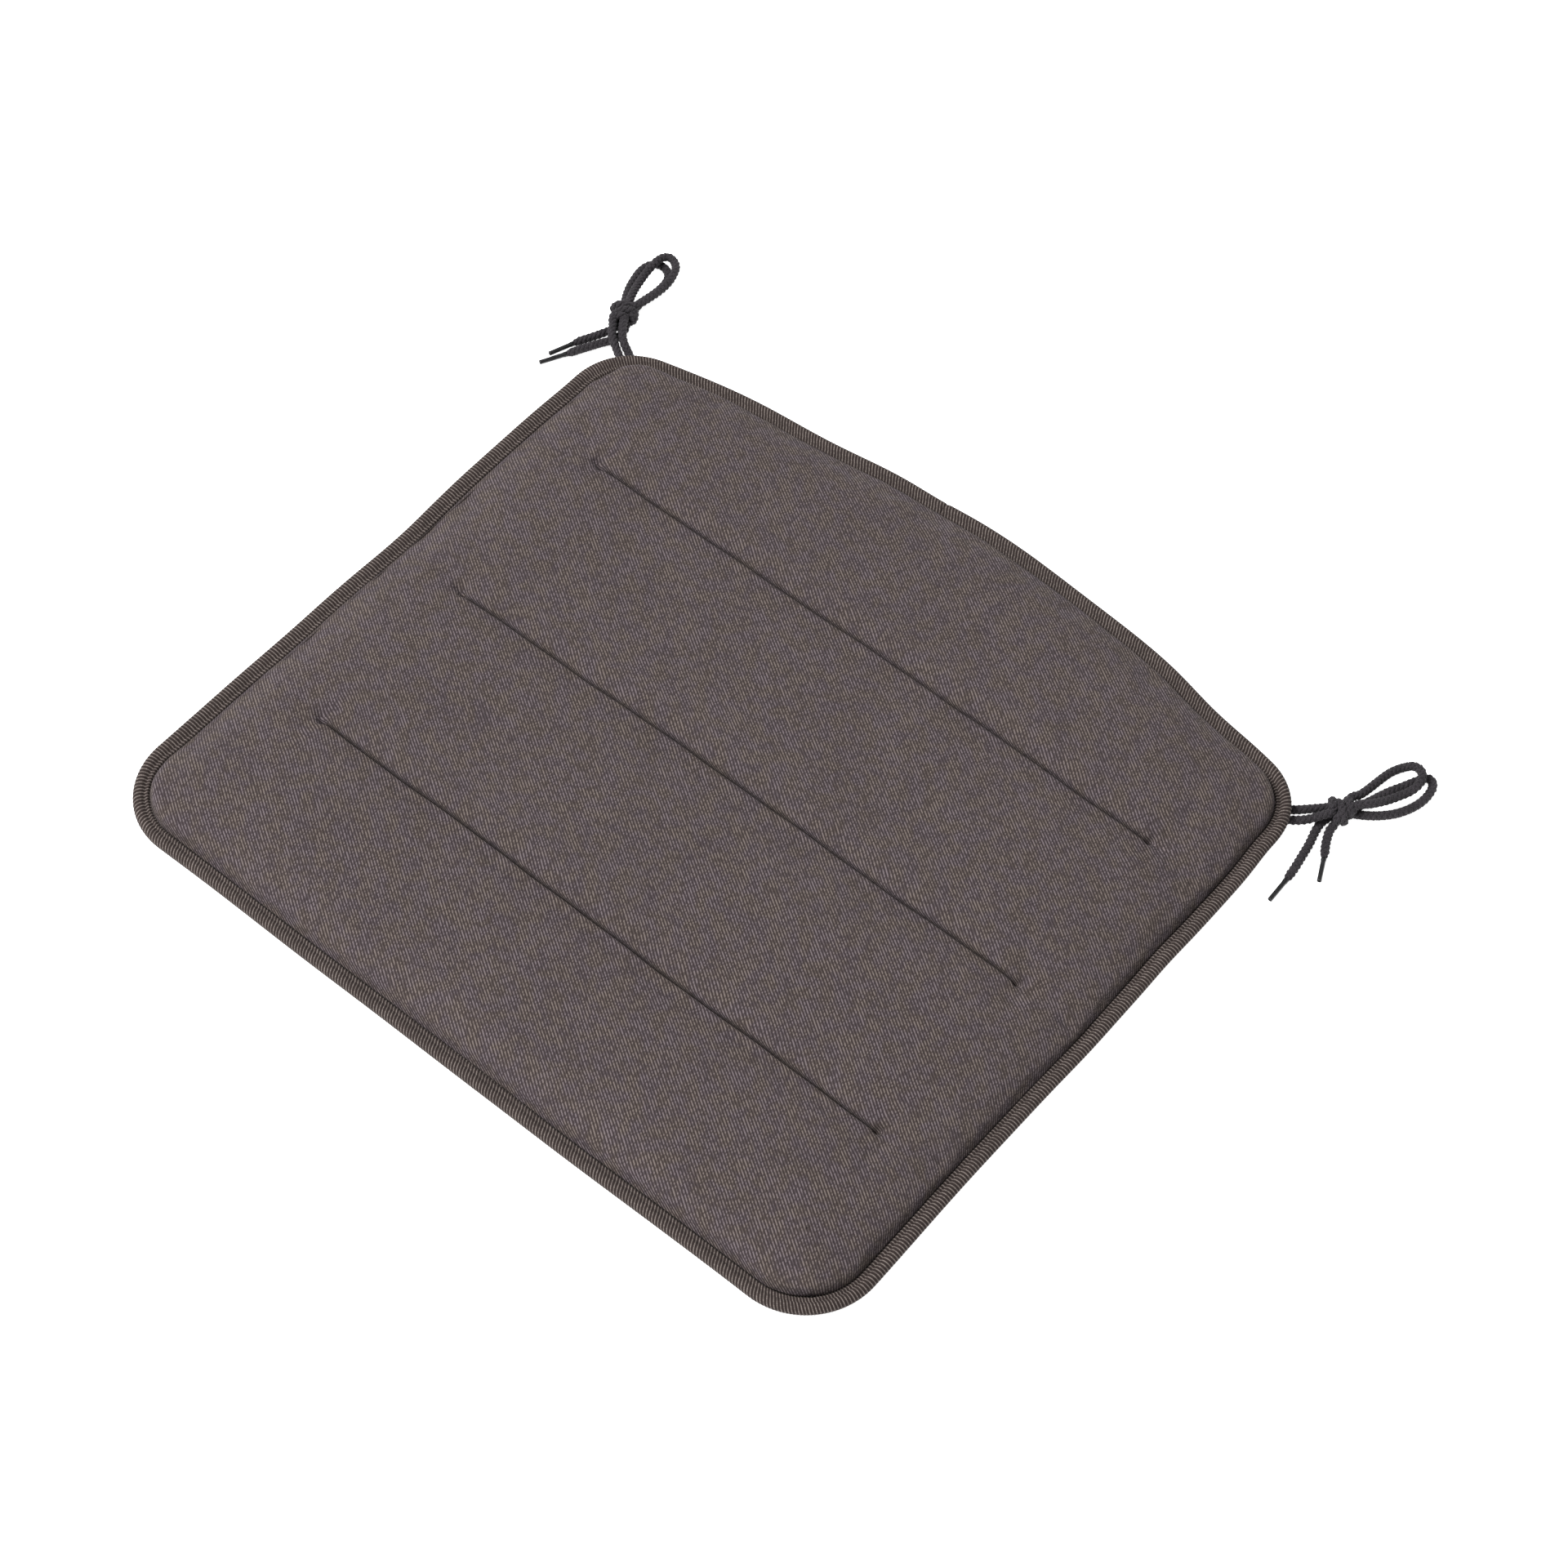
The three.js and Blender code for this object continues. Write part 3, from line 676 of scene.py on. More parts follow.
def rows_across():
    """How far back each inner row is, fine next to the channels."""
    side_back = BACK[1] + math.sqrt((BACK[2] - INNER_INSET) ** 2 - (HALF_WIDTH - INNER_INSET) ** 2)
    ys = [-HALF_DEPTH + INNER_INSET, *(CHANNEL_YS[name] for name in reversed(CHANNELS)), side_back]
    rows = [ys[:1]]
    # Half a wave in an outer zone draws the rows to its channel, a whole wave draws them to both channels
    for low, high, count, waves in zip(ys[:-1], ys[1:], ZONE_ROWS, (-0.5, 1, 1, 0.5)):
        share = np.arange(1, count + 1) / count
        share -= ROW_GRADING / (2 * math.pi * waves) * np.sin(2 * math.pi * abs(waves) * share)
        rows.append(low + (high - low) * share)
    return np.concatenate(rows)


def plan_grid(insets):
    """The grid seen from above: its points, and the outward normals in its edge rings."""
    points = np.zeros((COLUMNS + 1, ROWS + 1, 2))
    normals = np.zeros_like(points)
    inner_rows = rows_across()
    before = inner_rows[0] - OUTER_ROW_STEP * np.arange(RINGS, 0, -1)
    after = inner_rows[-1] + OUTER_ROW_STEP * np.arange(1, RINGS + 1)
    places = np.concatenate([before, inner_rows, after])
    for k in range(RINGS):
        columns, rows = np.arange(k, COLUMNS - k + 1), np.arange(k, ROWS - k + 1)
        column_share = (columns - k) / (COLUMNS - 2 * k)
        row_share = (places[rows] - places[k]) / (places[ROWS - k] - places[k])
        for side, at in (("front", (columns, k)), ("back", (columns, ROWS - k)),
                         ("left", (k, rows)), ("right", (COLUMNS - k, rows))):
            share = column_share if side in ("front", "back") else row_share
            points[at], normals[at] = side_points(side, insets[k], share)
    half = HALF_WIDTH - INNER_INSET
    x = np.linspace(-half, half, COLUMNS - 2 * RINGS + 1)[:, None]
    y = np.broadcast_to(inner_rows[None], (len(x), len(inner_rows))).copy()
    back_edge = BACK[1] + np.sqrt((BACK[2] - INNER_INSET) ** 2 - x ** 2)
    behind = np.clip((inner_rows - CHANNEL_YS["back"]) / (inner_rows[-1] - CHANNEL_YS["back"]), 0, 1)[None]
    y += behind * (back_edge - inner_rows[-1])
    inner = (slice(RINGS, COLUMNS - RINGS + 1), slice(RINGS, ROWS - RINGS + 1))
    points[inner] = np.stack([np.broadcast_to(x, y.shape), y], -1)
    return points, normals


def ring_numbers():
    column, row = np.arange(COLUMNS + 1)[:, None], np.arange(ROWS + 1)[None]
    return np.minimum(np.minimum(column, COLUMNS - column), np.minimum(row, ROWS - row))


def edge_distance(points):
    """Roughly how far inside the piping's middle line points are."""
    x, y = points[..., 0], points[..., 1]
    back = BACK[2] - np.hypot(x, y - BACK[1])
    return np.minimum(np.minimum(HALF_WIDTH - abs(x), y + HALF_DEPTH), back)


# Where the sewn edge is drawn in: the side, the place along it, how far in, and half of the dip's length
EDGE_DIPS = [("left", 8, 2.0, 32), ("left", -72, 0.6, 30), ("left", 135, 0.9, 22), ("right", -85, 0.6, 40),
             ("right", -5, -0.7, 24), ("right", 55, 0.6, 18), ("right", 138, 1.7, 18), ("back", -92, 3.4, 38),
             ("back", -28, 1.0, 20), ("back", 152, 1.9, 24), ("front", 72, -0.7, 40),
             ("front", -75, -0.4, 60)]
DIP_REACH = 26 * MM


def draw_in(points):
    """Moves points near the edge sideways, so that the outline is as uneven as a sewn one."""
    points = np.array(points, float)
    x, y = points[..., 0], points[..., 1]
    inside = {"left": (x + HALF_WIDTH, y, 0, 1), "right": (HALF_WIDTH - x, y, 0, -1),
              "front": (y + HALF_DEPTH, x, 1, 1), "back": (BACK[2] - np.hypot(x, y - BACK[1]), x, 1, -1)}
    moves = np.zeros((*x.shape, 2))
    for side, place, depth, width in EDGE_DIPS:
        distance, along, axis, way = inside[side]
        fading = np.exp(-(np.maximum(distance, 0) / DIP_REACH) ** 2 - ((along / MM - place) / width) ** 2)
        moves[..., axis] += way * depth * MM * fading
    points[..., :2] += moves
    return points


# Each channel's tilt to the right and its bow to the back, both in millimetres
CHANNEL_BENDS = {"back": (-0.55, 1.2), "middle": (0.1, 0.9), "front": (-1.3, 0.1)}


def channel_line(name, x):
    """How far back a sewn channel really runs: each one bends and wanders a little, in its own way."""
    shift = {"back": 0.4, "middle": 1.9, "front": 3.1}[name]
    tilt, bow = CHANNEL_BENDS[name]
    share = (x - CHANNEL_MIDDLE) / CHANNEL_END
    wander = (0.32 * np.sin(x / 0.031 + shift) + 0.22 * np.sin(x / 0.0143 + 2.2 * shift)
              + 0.12 * np.sin(x / 0.0061 + 3.1 * shift) + tilt * share + bow * (0.6 - share ** 2))
    return CHANNEL_YS[name] + wander * MM


def sew_channels(points, height, cloth, sewn):
    """Folds the cloth down into each channel: a narrow cleft, which fades out at both ends."""
    along, run, drop = fold(sewn, CHANNEL_CLOTH)
    spare = along[-1] - run[-1]
    x = points[..., 0]
    moved = points.copy()
    share = 1 - smoothstep(CHANNEL_END - CHANNEL_FADE, CHANNEL_END, abs(x - CHANNEL_MIDDLE))
    for name, y in CHANNEL_YS.items():
        away = points[..., 1] - y
        side, away = np.sign(away), abs(away)
        near = share * (away < CHANNEL_REACH)
        arc = away + spare * (1 - np.exp(-away / SPARE_REACH))
        pulled = np.interp(arc, along, run)
        depth = drop[-1] - np.interp(arc, along, drop)
        bent = bell(away, BEND_REACH) * (channel_line(name, x) - y)
        moved[..., 1] += near * (side * (pulled - away) + bent)
        height -= near * depth
        cloth[..., 1] += near * side * (arc - spare - away)
        # The depth into the cleft goes into the cloth mark's third value, and the cover's material paints
        # shade from it
        cloth[..., 2] += near * depth
    return moved


def mound(dx, dy, place, size):
    """A rounded hill of height 1. Its place and its size are in millimetres."""
    return bell(dx - place[0] * MM, size[0] * MM) * bell(dy - place[1] * MM, size[1] * MM)


PLEATS = 11


def pucker_ends(points, height):
    """The dimples and small pleats that the cloth makes round the ends of the channels."""
    x, y = points[..., 0] - CHANNEL_MIDDLE, points[..., 1]
    for name in CHANNELS:
        left, right = (channel_line(name, CHANNEL_MIDDLE + end * CHANNEL_END) for end in (-1, 1))
        dx, dy = x + CHANNEL_END, y - left
        height -= 3.6 * MM * mound(dx, dy, (0.5, 1.6), (3.6, 2.6))
        height += 0.6 * MM * mound(dx, dy, (-4, 7.5), (5, 2.5))
        dx, dy = x - CHANNEL_END, y - right
        pleats = np.cos(PLEATS * np.arctan2(dy, dx - 4 * MM)) * smoothstep(0.2 * MM, 1 * MM, dy)
        height += 0.5 * MM * pleats * bell(np.hypot(dx, dy) - 6 * MM, 4.5 * MM)
        height -= 2.0 * MM * mound(dx, dy, (0, 1), (5, 2.6))
        height -= 0.35 * MM * mound(abs(x) - CHANNEL_END, dy, (6, 0), (16, 9))
    return height


def unevenness(points):
    """Slow waves that a hand-filled pad has, and the faint puckers near the middle of the back edge."""
    x, y = points[..., 0], points[..., 1]
    waves = (np.sin(x / 0.021 + 1.3 * np.sin(y / 0.034)) * np.sin(y / 0.027 + 0.8) * 0.16
             + np.sin(x / 0.011 + y / 0.017 + 2) * np.sin(y / 0.013 - x / 0.04) * 0.05)
    puckers = np.cos((x - 0.038) / 0.0024) * bell(x - 0.036, 0.02) * bell(y - 0.158, 0.022) * 0.24
    return (waves + puckers) * MM


def refine(values, factor):
    """A smooth finer version of a coarse grid of vectors, along both of its directions."""
    for axis in (0, 1):
        v = np.moveaxis(values, axis, 0)
        padded = np.concatenate([2 * v[:1] - v[1:2], v, 2 * v[-1:] - v[-2:-1]])
        fine = [v[:1]]
        for start in range(len(v) - 1):
            p0, p1, p2, p3 = padded[start:start + 4]
            t = (np.arange(1, factor + 1) / factor).reshape(-1, *[1] * (v.ndim - 1))
            fine.append(0.5 * (2 * p1 + (p2 - p0) * t + (2 * p0 - 5 * p1 + 4 * p2 - p3) * t ** 2
                               + (3 * p1 - p0 - 3 * p2 + p3) * t ** 3))
        values = np.moveaxis(np.concatenate(fine), 0, axis)
    return values


def grid_faces(columns, rows, first=0):
    column, row = np.arange(columns - 1)[:, None], np.arange(rows - 1)[None]
    corner = first + column * rows + row
    return np.stack([corner, corner + rows, corner + rows + 1, corner + 1], -1).reshape(-1, 4)


SIM_FRAMES = 20
PRESSURE = 4.0
SPARE_CLOTH = 0.004
SWELL_CAP = 1.5 * MM
SHIFT_CAP = 0.7 * MM


def away_from_clefts(points):
    """0 where the cloth is pulled into a channel, rising to 1 a little way from it."""
    x, y = points[..., 0], points[..., 1]
    share = np.ones(x.shape)
    for name in CHANNELS:
        sewn = 1 - smoothstep(CHANNEL_END - 5 * MM, CHANNEL_END + 2 * MM, abs(x - CHANNEL_MIDDLE))
        share *= 1 - sewn * (1 - smoothstep(1.5 * MM, 10 * MM, abs(y - channel_line(name, x))))
    return share


def swell(points):
    """How far pressure moves the cloth of the top cover, sewn down round its edge and along its channels."""
    coarse = points[::THINNING, ::THINNING]
    columns, rows = coarse.shape[:2]
    mesh = bpy.data.meshes.new("swell")
    mesh.from_pydata(coarse.reshape(-1, 3).tolist(), [], grid_faces(columns, rows).tolist())
    cloth = add_object("swell", mesh)
    sewn = np.zeros((columns, rows), bool)
    sewn[[0, -1]] = sewn[:, [0, -1]] = True
    for row in CHANNEL_ROWS:
        inside = abs(coarse[:, row // THINNING, 0] - CHANNEL_MIDDLE) < CHANNEL_END - 3 * MM
        sewn[inside, row // THINNING] = True
    group = cloth.vertex_groups.new(name="sewn")
    group.add(np.flatnonzero(sewn.ravel()).tolist(), 1.0, "REPLACE")
    modifier = cloth.modifiers.new("cloth", "CLOTH")
    settings = modifier.settings
    settings.quality = 6
    settings.mass = 0.15
    settings.tension_stiffness = settings.compression_stiffness = 25
    settings.shear_stiffness = 12
    settings.bending_stiffness = 0.4
    settings.vertex_group_mass = "sewn"
    settings.shrink_min = -SPARE_CLOTH
    settings.use_pressure = True
    settings.uniform_pressure_force = PRESSURE
    settings.effector_weights.gravity = 0
    modifier.point_cache.frame_start = 1
    modifier.point_cache.frame_end = SIM_FRAMES
    for number in range(1, SIM_FRAMES + 1):
        bpy.context.scene.frame_set(number)
    result = cloth.evaluated_get(bpy.context.evaluated_depsgraph_get()).to_mesh()
    moved = np.zeros(coarse.size, np.float32)
    result.vertices.foreach_get("co", moved)
    bpy.data.objects.remove(cloth)
    bpy.context.scene.frame_set(1)
    shift = moved.reshape(coarse.shape) - coarse
    shift[..., :2] = SHIFT_CAP * np.tanh(shift[..., :2] / SHIFT_CAP)
    shift[..., 2] = SWELL_CAP * np.tanh(shift[..., 2] / SWELL_CAP)
    return refine(shift, THINNING) * away_from_clefts(points)[..., None]


TOP_EDGE = {"angle": 71, "straight_to": 3.4 * MM, "flat_from": 10.2 * MM}
TOP_SHOULDER = PAD_TOP - 6.4 * MM
TOP_SEWN = {"angle": 83, "straight_to": 6.2 * MM, "flat_from": 10.0 * MM}
UNDER_EDGE = {"angle": 74, "straight_to": 7.1 * MM, "flat_from": 12.5 * MM}
UNDER_SEWN = {"angle": 76, "straight_to": 2.2 * MM, "flat_from": 6.5 * MM}
CROWN = 4.4 * MM
CROWN_START, CROWN_FULL = 9 * MM, 58 * MM
# The left edge: how much wider the piping looks, and how far the cover's shoulder moves inwards and down
WIDER_ON_LEFT = 1.3 * MM
SHOULDER_IN, SHOULDER_DOWN = 1.2 * MM, 2.0 * MM


def along_left(y):
    """1 along most of the left edge, fading to 0 at its corners."""
    return 1 - smoothstep(HALF_DEPTH - 50 * MM, HALF_DEPTH - 14 * MM, abs(y))


def slacken_left(points):
    """Moves the shoulder along the left edge down and inwards: the cloth is sewn in more slackly there."""
    inside = points[..., 0] + HALF_WIDTH
    share = along_left(points[..., 1]) * (1 - smoothstep(9 * MM, 26 * MM, inside))
    rolled = share * smoothstep(COVER_INSET, 7.5 * MM, inside)
    points[..., 0] += WIDER_ON_LEFT * share + SHOULDER_IN * rolled
    points[..., 2] -= SHOULDER_DOWN * rolled
    return points


def panel(edge, sewn, base, level, way):
    """A cover panel's outer face as a grid: its points, and where each one is on the flat cloth, with its
    depth into a channel's cleft for the painted shade there.
    """
    along, run, rise = fold(edge, EDGE_CLOTH)
    rise *= abs(level - base) / rise[-1]
    spare = along[-1] - run[-1]
    last = np.interp(INNER_INSET - COVER_INSET, run, along)
    steps = np.linspace(0, last, RINGS + 1)
    runs = np.interp(steps, along, run)
    plan, normals = plan_grid(COVER_INSET + runs)
    ring = np.minimum(ring_numbers(), RINGS)
    height = np.interp(steps, along, rise)[ring]
    hidden = (spare - (steps - runs))[ring]
    cloth = plan + normals * hidden[..., None]
    cloth = np.dstack([cloth, np.zeros(ring.shape)])
    if way > 0:
        to_full = 1 - np.clip((edge_distance(plan) - CROWN_START) / (CROWN_FULL - CROWN_START), 0, 1)
        height += CROWN * (1 - to_full ** 2)
        height += unevenness(plan) * smoothstep(0, 12 * MM, edge_distance(plan) - COVER_INSET)
    plan = sew_channels(plan, height, cloth, sewn)
    if way > 0:
        height = pucker_ends(plan, height)
    points = np.dstack([plan, base + way * height])
    if way > 0:
        points = slacken_left(points)
        cloth[..., :2] += points[..., :2] - plan
    return draw_in(points), cloth


def edge_walk(columns, rows):
    """The grid's outermost points in order, as column and row numbers."""
    column, row = np.arange(columns - 1), np.arange(rows - 1)
    sides = [(column, 0), (columns - 1, row), (columns - 1 - column, rows - 1), (0, rows - 1 - row)]
    return np.vstack([np.stack(np.broadcast_arrays(*side), 1) for side in sides])


# The seam allowance as it is turned in: how far inwards and up, in millimetres
SEAM_ALLOWANCE = [(8, 0), (8, 0.9), (2.2, 0.9)]


def cover_shell(name, outer, cloth, way, material, slot, thinning):
    """A closed piece of cloth made from its outer face, with the seam allowance turned in."""
    columns, rows = outer.shape[:2]
    inner = outer[::thinning, ::thinning].copy()
    inner -= unit(np.cross(np.gradient(inner, axis=0), np.gradient(inner, axis=1))) * way * CLOTH
    inner_columns, inner_rows = inner.shape[:2]
    walk = edge_walk(columns, rows)
    inner_walk = edge_walk(inner_columns, inner_rows)
    rim = outer[tuple(walk.T)]
    coarse_rim = rim[::thinning]
    towards = -unit(coarse_rim[:, :2])
    allowance = []
    for inwards, up in SEAM_ALLOWANCE:
        loop = coarse_rim.copy()
        loop[:, :2] += towards * inwards * MM
        loop[:, 2] += way * up * MM
        allowance.append(loop)
    first_inner = columns * rows
    first_allowance = first_inner + inner_columns * inner_rows
    points = np.vstack([outer.reshape(-1, 3), inner.reshape(-1, 3), *allowance])
    faces = grid_faces(columns, rows)[:, ::way].tolist()
    faces += grid_faces(inner_columns, inner_rows, first_inner)[:, ::-way].tolist()
    count = len(coarse_rim)
    rim_index = walk[:, 0] * rows + walk[:, 1]
    loops = [first_allowance + np.arange(count) + count * n for n in range(len(allowance))]
    loops.append(first_inner + inner_walk[:, 0] * inner_rows + inner_walk[:, 1])
    for n in range(count):
        after = (n + 1) % count
        fine = [int(rim_index[(n * thinning + m) % len(rim_index)]) for m in range(thinning + 1)]
        faces.append([*fine[::-1], int(loops[0][n]), int(loops[0][after])][::way])
        for low, high in zip(loops[:-1], loops[1:]):
            faces.append([int(i) for i in (low[after], low[n], high[n], high[after])][::way])
    marks = np.vstack([cloth.reshape(-1, 3), cloth[::thinning, ::thinning].reshape(-1, 3),
                       *[cloth[tuple(walk[::thinning].T)]] * len(allowance)])
    return mesh_piece(name, points, faces, material, slot, cloth=marks)


# --- Piping: a strip of twill round a filler cord, with its flange in the seam ---

PIPING_RIB_PITCH = 1.71 * MM
PIPING_STEP = PIPING_RIB_PITCH / 4
PIPING_RELIEF = 0.15 * MM
PIPING_YARN_PITCH = 0.85 * MM
PIPING_DARK = (0.0310, 0.0222, 0.0204)
PIPING_LIGHT = (0.240, 0.202, 0.184)
# Ribs lean on the front and back edges, where the bias strip lies the other way to the weave
LEAN_ON_SIDES, LEAN_ON_ENDS = 0.05, 0.45
JOIN_X = -23 * MM
JOIN_GAP = 0.05 * MM
# The section, in millimetres out from the middle line and up: the flange's top, the bead, the underside
FLANGE_TOP = [(-12, 0.8), (-7, 0.7), (-5.5, 0.3), (-5.1, 0.3), (-4.8, 0.9), (-4.5, 1.35), (-4.0, 1.5),
              (-3.5, 1.35), (-3.0, 0.98)]
FLANGE_UNDERSIDE = [(-3.3, -0.8), (-12, -0.8)]
BEAD_ANGLES = np.radians(np.linspace(158, -160, 13))
WHOLE_EDGE = [(BACK, 90, 180 - TURN), (BACK_LEFT, 180 - TURN, 180), (FRONT_LEFT, 180, 270),
              (FRONT_RIGHT, 270, 360), (BACK_RIGHT, 0, TURN), (BACK, TURN, 90)]


def piping_section():
    """Section points, their directions outwards, how much ribs show there, and distances along the cloth."""
    bead = np.stack([np.cos(BEAD_ANGLES), np.sin(BEAD_ANGLES)], 1)
    core = (BEAD_RADIUS - PIPING_RELIEF / 2) / MM
    points = np.vstack([FLANGE_TOP, bead * core, FLANGE_UNDERSIDE]) * MM
    up = np.tile((0.0, 1.0), (len(FLANGE_TOP), 1))
    normals = np.vstack([up, bead, -up[:len(FLANGE_UNDERSIDE)]])
    ribbed = smoothstep(-7 * MM, -5 * MM, points[:, 0]) * smoothstep(-2.9 * MM, -1.2 * MM, points[:, 1])
    return points, normals, ribbed, distances_along(points)


def piping_line(step):
    """The middle line of the piping from its join right round to it again, uneven as sewn piping is."""
    traced = trace(WHOLE_EDGE, 0)
    length = traced[0][-1]
    count = round((length - JOIN_GAP) / step)
    from_join = (JOIN_GAP + length) / 2 + (np.arange(count + 1) / count - 0.5) * (length - JOIN_GAP)
    plan, normals = along_trace(traced, (from_join - JOIN_X) % length)
    s = from_join
    drift = 0.22 * np.sin(s / 0.037) + 0.13 * np.sin(s / 0.0171 + 1)
    on_back = smoothstep(0.5, 0.95, normals[:, 1])
    drift += on_back * (0.4 * np.sin(plan[:, 0] / 0.017 + 0.6) * bell(plan[:, 0], 0.12))
    past_join = plan[:, 0] - JOIN_X
    step_up = on_back * 0.45 * smoothstep(-0.4 * MM, 0.4 * MM, past_join) * bell(past_join, 22 * MM)
    plan = plan + normals * ((drift + step_up) * MM)[:, None]
    return draw_in(plan), normals, s


def piping_sleeve(material):
    section, section_normals, ribbed, across = piping_section()
    plan, outwards, s = piping_line(PIPING_STEP)
    lean = LEAN_ON_SIDES + (LEAN_ON_ENDS - LEAN_ON_SIDES) * outwards[:, 1] ** 2
    phase = (s[:, None] - lean[:, None] * across[None]) / PIPING_RIB_PITCH
    crest = (0.5 + 0.5 * np.cos(2 * math.pi * phase)) ** 2
    from_ends = np.minimum(s - s[0], s[-1] - s)
    tucked = 0.45 * MM * (1 - smoothstep(0, 1.2 * MM, from_ends))
    swelling = crest * PIPING_RELIEF * ribbed[None] - tucked[:, None]
    offsets = section[None] + section_normals[None] * swelling[..., None]
    flatter = (along_left(plan[:, 1]) * (outwards[:, 0] < -0.5))[:, None]
    offsets[..., 0] -= WIDER_ON_LEFT * flatter * smoothstep(0, 2.7 * MM, -section[None, :, 0])
    points = np.concatenate([plan[:, None] + outwards[:, None] * offsets[..., :1],
                             SEAM_Z + offsets[..., 1:]], -1)
    cloth = np.stack(np.broadcast_arrays(s[:, None], across[None], phase), -1)
    sleeve = mesh_piece("piping_sleeve_cloth", *tubes([points]), material, "piping_twill", cloth=cloth)
    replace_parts(sleeve, "piping_sleeve")


def piping_material():
    graph = Graph("piping_twill")
    along, across, phase = graph.xyz(graph.mark("cloth"))
    number = graph.floor(phase + 0.5)
    crest = graph.step(graph.size(phase - number), 0.02, 0.27, 1.0, 0.0)
    yarns = across * (1 / PIPING_YARN_PITCH) + number * 0.5
    yarn = graph.floor(yarns)
    in_yarn = graph.math("FRACT", yarns)
    float_top = graph.step(graph.size(in_yarn - 0.5), 0.25, 0.5, 1.0, 0.55)
    random = graph.random(graph.vector(number, yarn))
    fibres = graph.noise(graph.vector(along, across * 2.0), 1700, 3, 0.6)
    blotches = graph.noise(graph.vector(along, across), 60, 2)
    lightness = crest * float_top * graph.step(random, 0.0, 1.0, 0.6, 1.15) + (fibres - 0.5) * 0.35
    colour = graph.mix(lightness, rgb(*PIPING_DARK), rgb(*PIPING_LIGHT))
    colour = graph.tint(colour, graph.step(blotches, 0.3, 0.7, 0.93, 1.07))
    rough = graph.step(fibres, 0.2, 0.8, 0.78, 0.95)
    return graph.finish(colour, rough, crest * float_top * 0.5 + fibres * 0.4, 0.1 * MM, **MATT_CLOTH)


FILLER_PLIES = 3
FILLER_SIDES = 6
FILLER_LEAD = 14 * MM
FILLER_STEP = 1.6 * MM


def filler_cord(material):
    """The cord inside the piping: three soft plies twisted together."""
    plan, outwards, s = piping_line(FILLER_STEP)
    line = np.column_stack([plan, np.full(len(plan), SEAM_Z)])
    side = np.column_stack([outwards, np.zeros(len(plan))])
    up = np.tile((0.0, 0.0, 1.0), (len(plan), 1))
    radius = BEAD_RADIUS - CLOTH - 0.2 * MM
    ply = radius * 0.52
    parts = []
    for number in range(FILLER_PLIES):
        angle = 2 * math.pi * (s / FILLER_LEAD + number / FILLER_PLIES)
        middle = line + turned(side, up, angle) * (radius - ply)
        parts.append(rings_round(middle, side * ply, up * ply, FILLER_SIDES))
    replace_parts(mesh_piece("piping_filler", *tubes(parts), material, "filler_cord"), "piping_filler_cord")


# --- Stitches: a lockstitch along each channel, one thread on top and one underneath ---

STITCH = 3.0 * MM
STITCH_RADIUS = 0.24 * MM
STITCH_POINTS = 7
STITCH_SIDES = 6
STITCH_DIP = 0.8 * MM
THREAD_PLY_PITCH = 0.7 * MM


def channel_stitches(name, thread, height, way, material):
    """Short loops of thread that dive into the cloth at both ends."""
    low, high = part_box(f"channel_{name}_{thread}_thread")
    count = round((high.x - low.x) / STITCH)
    share = np.linspace(0.04, 0.96, STITCH_POINTS)
    dip = STITCH_DIP * (2 * share - 1) ** 4
    stitches = []
    for number in range(count):
        x = low.x + (high.x - low.x) * (number + share) / count
        line = np.stack([x, channel_line(name, x), height - way * dip], 1)
        side, up = directions_along(line)
        stitches.append(rings_round(line, side * STITCH_RADIUS, up * STITCH_RADIUS, STITCH_SIDES))
    piece = mesh_piece(f"channel_{name}_{thread}_stitches", *tubes(stitches), material, "sewing_thread")
    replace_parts(piece, f"channel_{name}_{thread}_thread")


def thread_material():
    graph = Graph("sewing_thread")
    x, y, z = graph.xyz(graph.position())
    plies = graph.wave((x + y + z) * (1 / THREAD_PLY_PITCH))
    fibres = graph.noise(graph.position(), 3000, 2)
    colour = graph.mix(plies * 0.5 + fibres * 0.5, rgb(0.016, 0.0115, 0.011), rgb(0.060, 0.043, 0.041))
    rough = graph.step(fibres, 0.2, 0.8, 0.5, 0.75)
    return graph.finish(colour, rough, plies, 0.04 * MM, Specular_IOR_Level=0.4)


def cotton_material():
    graph = Graph("filler_cord")
    fibres = graph.noise(graph.position(), 1400, 4, 0.65)
    specks = graph.noise(graph.position(), 400, 2)
    colour = graph.mix(graph.step(fibres, 0.3, 0.75), rgb(0.52, 0.49, 0.42), rgb(0.76, 0.73, 0.66))
    colour = graph.mix(graph.step(specks, 0.66, 0.72, 0.0, 0.4), colour, rgb(0.30, 0.25, 0.18))
    return graph.finish(colour, 0.95, fibres, 0.15 * MM, Sheen_Weight=0.3)


# --- Foam: one sheet, squeezed thin where it is sewn through ---

FOAM_MARGIN = 3
FOAM_GAP = 1.7 * MM
FOAM_LEAST = 2 * MM
FOAM_WALLS = (0.25, 0.5, 0.75)


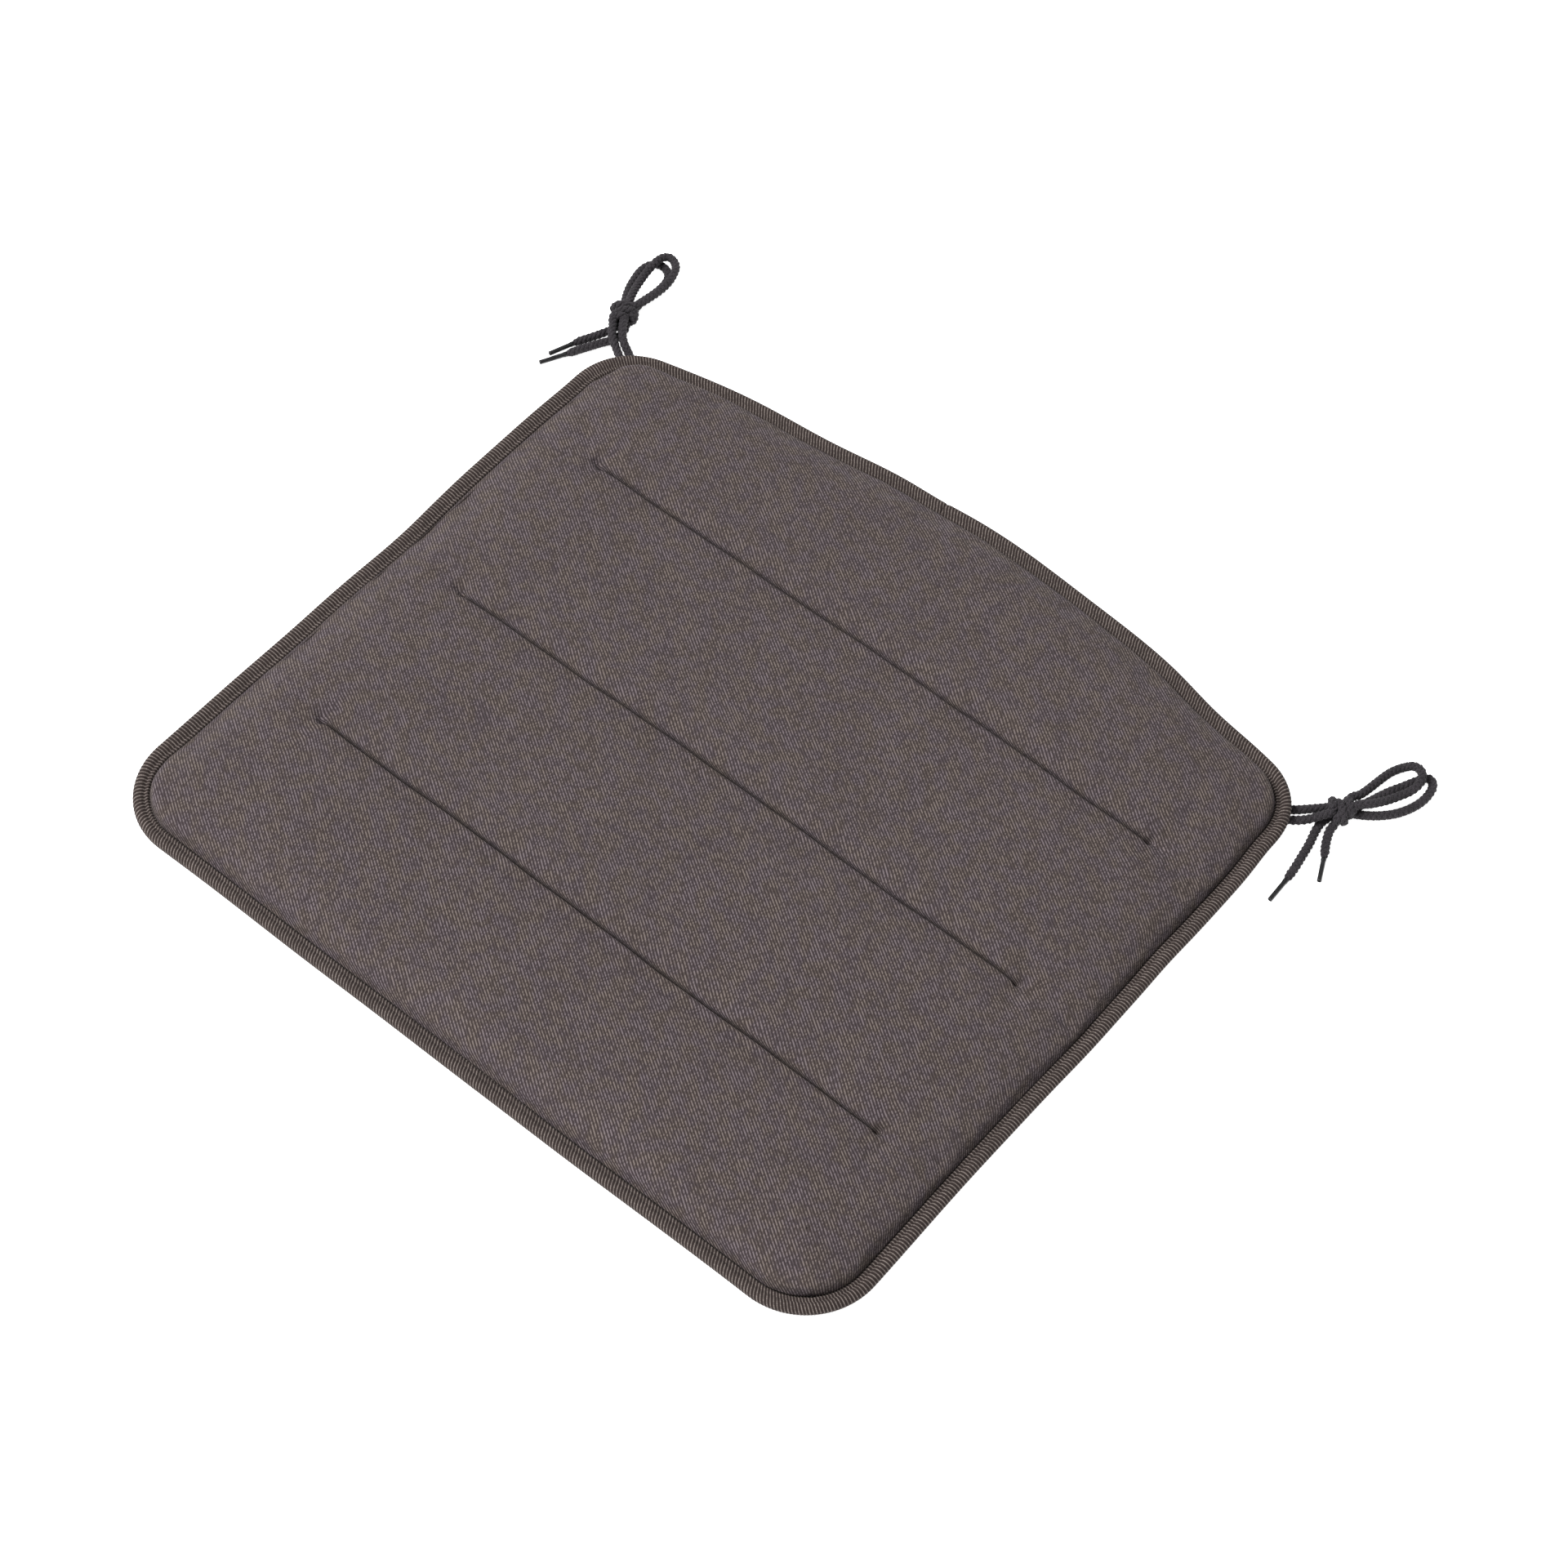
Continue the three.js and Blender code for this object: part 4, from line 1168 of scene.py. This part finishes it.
def foam_sheet(outer, lower, material):
    """A closed slab between the two covers' faces."""
    keep = slice(FOAM_MARGIN, -FOAM_MARGIN)
    top = outer[::THINNING, ::THINNING][keep, keep].copy()
    under = lower[::THINNING, ::THINNING][keep, keep].copy()
    top[..., 2] -= FOAM_GAP
    under[..., 2] += FOAM_GAP
    thin = np.maximum(FOAM_LEAST - (top[..., 2] - under[..., 2]), 0) / 2
    top[..., 2] += thin
    under[..., 2] -= thin
    columns, rows = top.shape[:2]
    walk = edge_walk(columns, rows)
    rim = walk[:, 0] * rows + walk[:, 1]
    upper_rim, under_rim = top[tuple(walk.T)], under[tuple(walk.T)]
    walls = []
    for share in FOAM_WALLS:
        loop = upper_rim + (under_rim - upper_rim) * share
        loop[:, :2] *= 1 + 0.004 * math.sin(math.pi * share)
        walls.append(loop)
    total, count = columns * rows, len(rim)
    points = np.vstack([top.reshape(-1, 3), under.reshape(-1, 3), *walls])
    loops = [rim, *[2 * total + count * n + np.arange(count) for n in range(len(walls))], total + rim]
    faces = grid_faces(columns, rows).tolist() + grid_faces(columns, rows, total)[:, ::-1].tolist()
    for high, low in zip(loops[:-1], loops[1:]):
        faces += np.stack([high, low, np.roll(low, -1), np.roll(high, -1)], 1).tolist()
    foam = mesh_piece("foam_sheet", points, faces, material, "foam")
    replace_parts(foam, "foam_core")


def foam_material():
    graph = Graph("foam")
    cells = graph.node("ShaderNodeTexVoronoi", {"Vector": graph.position(), "Scale": 1100})
    tone = graph.noise(graph.position(), 45, 3)
    colour = graph.mix(graph.step(cells, 0.1, 0.6), rgb(0.55, 0.48, 0.30), rgb(0.86, 0.80, 0.60))
    colour = graph.tint(colour, graph.step(tone, 0.3, 0.7, 0.9, 1.05))
    return graph.finish(colour, 0.95, cells, 0.3 * MM)


def make_covers():
    top_twill = twill_material("cover_twill", TWILL_DARK, TWILL_LIGHT)
    under_colours = [0.92 * c for c in TWILL_DARK], [0.9 * c for c in TWILL_LIGHT]
    under_twill = twill_material("underside_twill", *under_colours)
    outer, cloth = panel(TOP_EDGE, TOP_SEWN, TOP_BASE, TOP_SHOULDER, 1)
    outer = outer + swell(outer)
    top = cover_shell("cover_top_cloth", outer, cloth, 1, top_twill, "cover_twill", THINNING)
    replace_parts(top, "cover_top")
    lower, lower_cloth = panel(UNDER_EDGE, UNDER_SEWN, UNDER_BASE, 0, -1)
    under = cover_shell("cover_underside_cloth", lower[::2, ::2], lower_cloth[::2, ::2], -1, under_twill,
                        "underside_twill", 2)
    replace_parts(under, "cover_underside")
    foam_sheet(outer, lower, foam_material())
    thread = thread_material()
    middle = COLUMNS // 2
    for name, row in zip(reversed(CHANNELS), CHANNEL_ROWS):
        channel_stitches(name, "needle", outer[middle, row, 2], 1, thread)
        channel_stitches(name, "bobbin", lower[middle, row, 2], -1, thread)
    for node in ("seam_needle_thread", "seam_bobbin_thread"):
        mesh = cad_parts[node].data
        mesh.materials.clear()
        mesh.materials.append(thread)
    piping_sleeve(piping_material())
    filler_cord(cotton_material())


# --- Floor and light ---

FLOOR_GLOW = 0.85
FLOOR_HALF, FLOOR_Z = 4.0, -0.1 * MM
WORLD_STRENGTH = 0.45
KEY_POWER = 320


def floor_material():
    graph = Graph("floor_paper")
    grain = graph.noise(graph.position(), 30, 3)
    colour = graph.mix(graph.step(grain, 0.3, 0.7), rgb(0.86, 0.86, 0.86), rgb(0.88, 0.88, 0.88))
    return graph.finish(colour, 0.9, Specular_IOR_Level=0.1, Emission_Color=rgb(1, 1, 1),
                        Emission_Strength=FLOOR_GLOW)


def make_floor():
    corners = [(x * FLOOR_HALF, y * FLOOR_HALF, FLOOR_Z) for x, y in ((-1, -1), (1, -1), (1, 1), (-1, 1))]
    floor = mesh_piece("floor", corners, [(0, 1, 2, 3)], floor_material())


def area_light(name, azimuth, elevation, distance, size, power):
    light = add_object(name, bpy.data.lights.new(name, "AREA"))
    light.data.shape = "DISK"
    light.data.size = size
    light.data.energy = power
    look_from(light, math.radians(azimuth), math.radians(elevation), distance)


def make_light():
    world = bpy.data.worlds.new("studio")
    world.use_nodes = True
    world.node_tree.nodes["Background"].inputs["Color"].default_value = rgb(1, 1, 1)
    world.node_tree.nodes["Background"].inputs["Strength"].default_value = WORLD_STRENGTH
    bpy.context.scene.world = world
    area_light("key", -52, 58, 5.5, 2.4, KEY_POWER)
    bpy.context.scene.view_settings.view_transform = "Standard"


make_ties()
make_covers()
make_floor()
make_light()
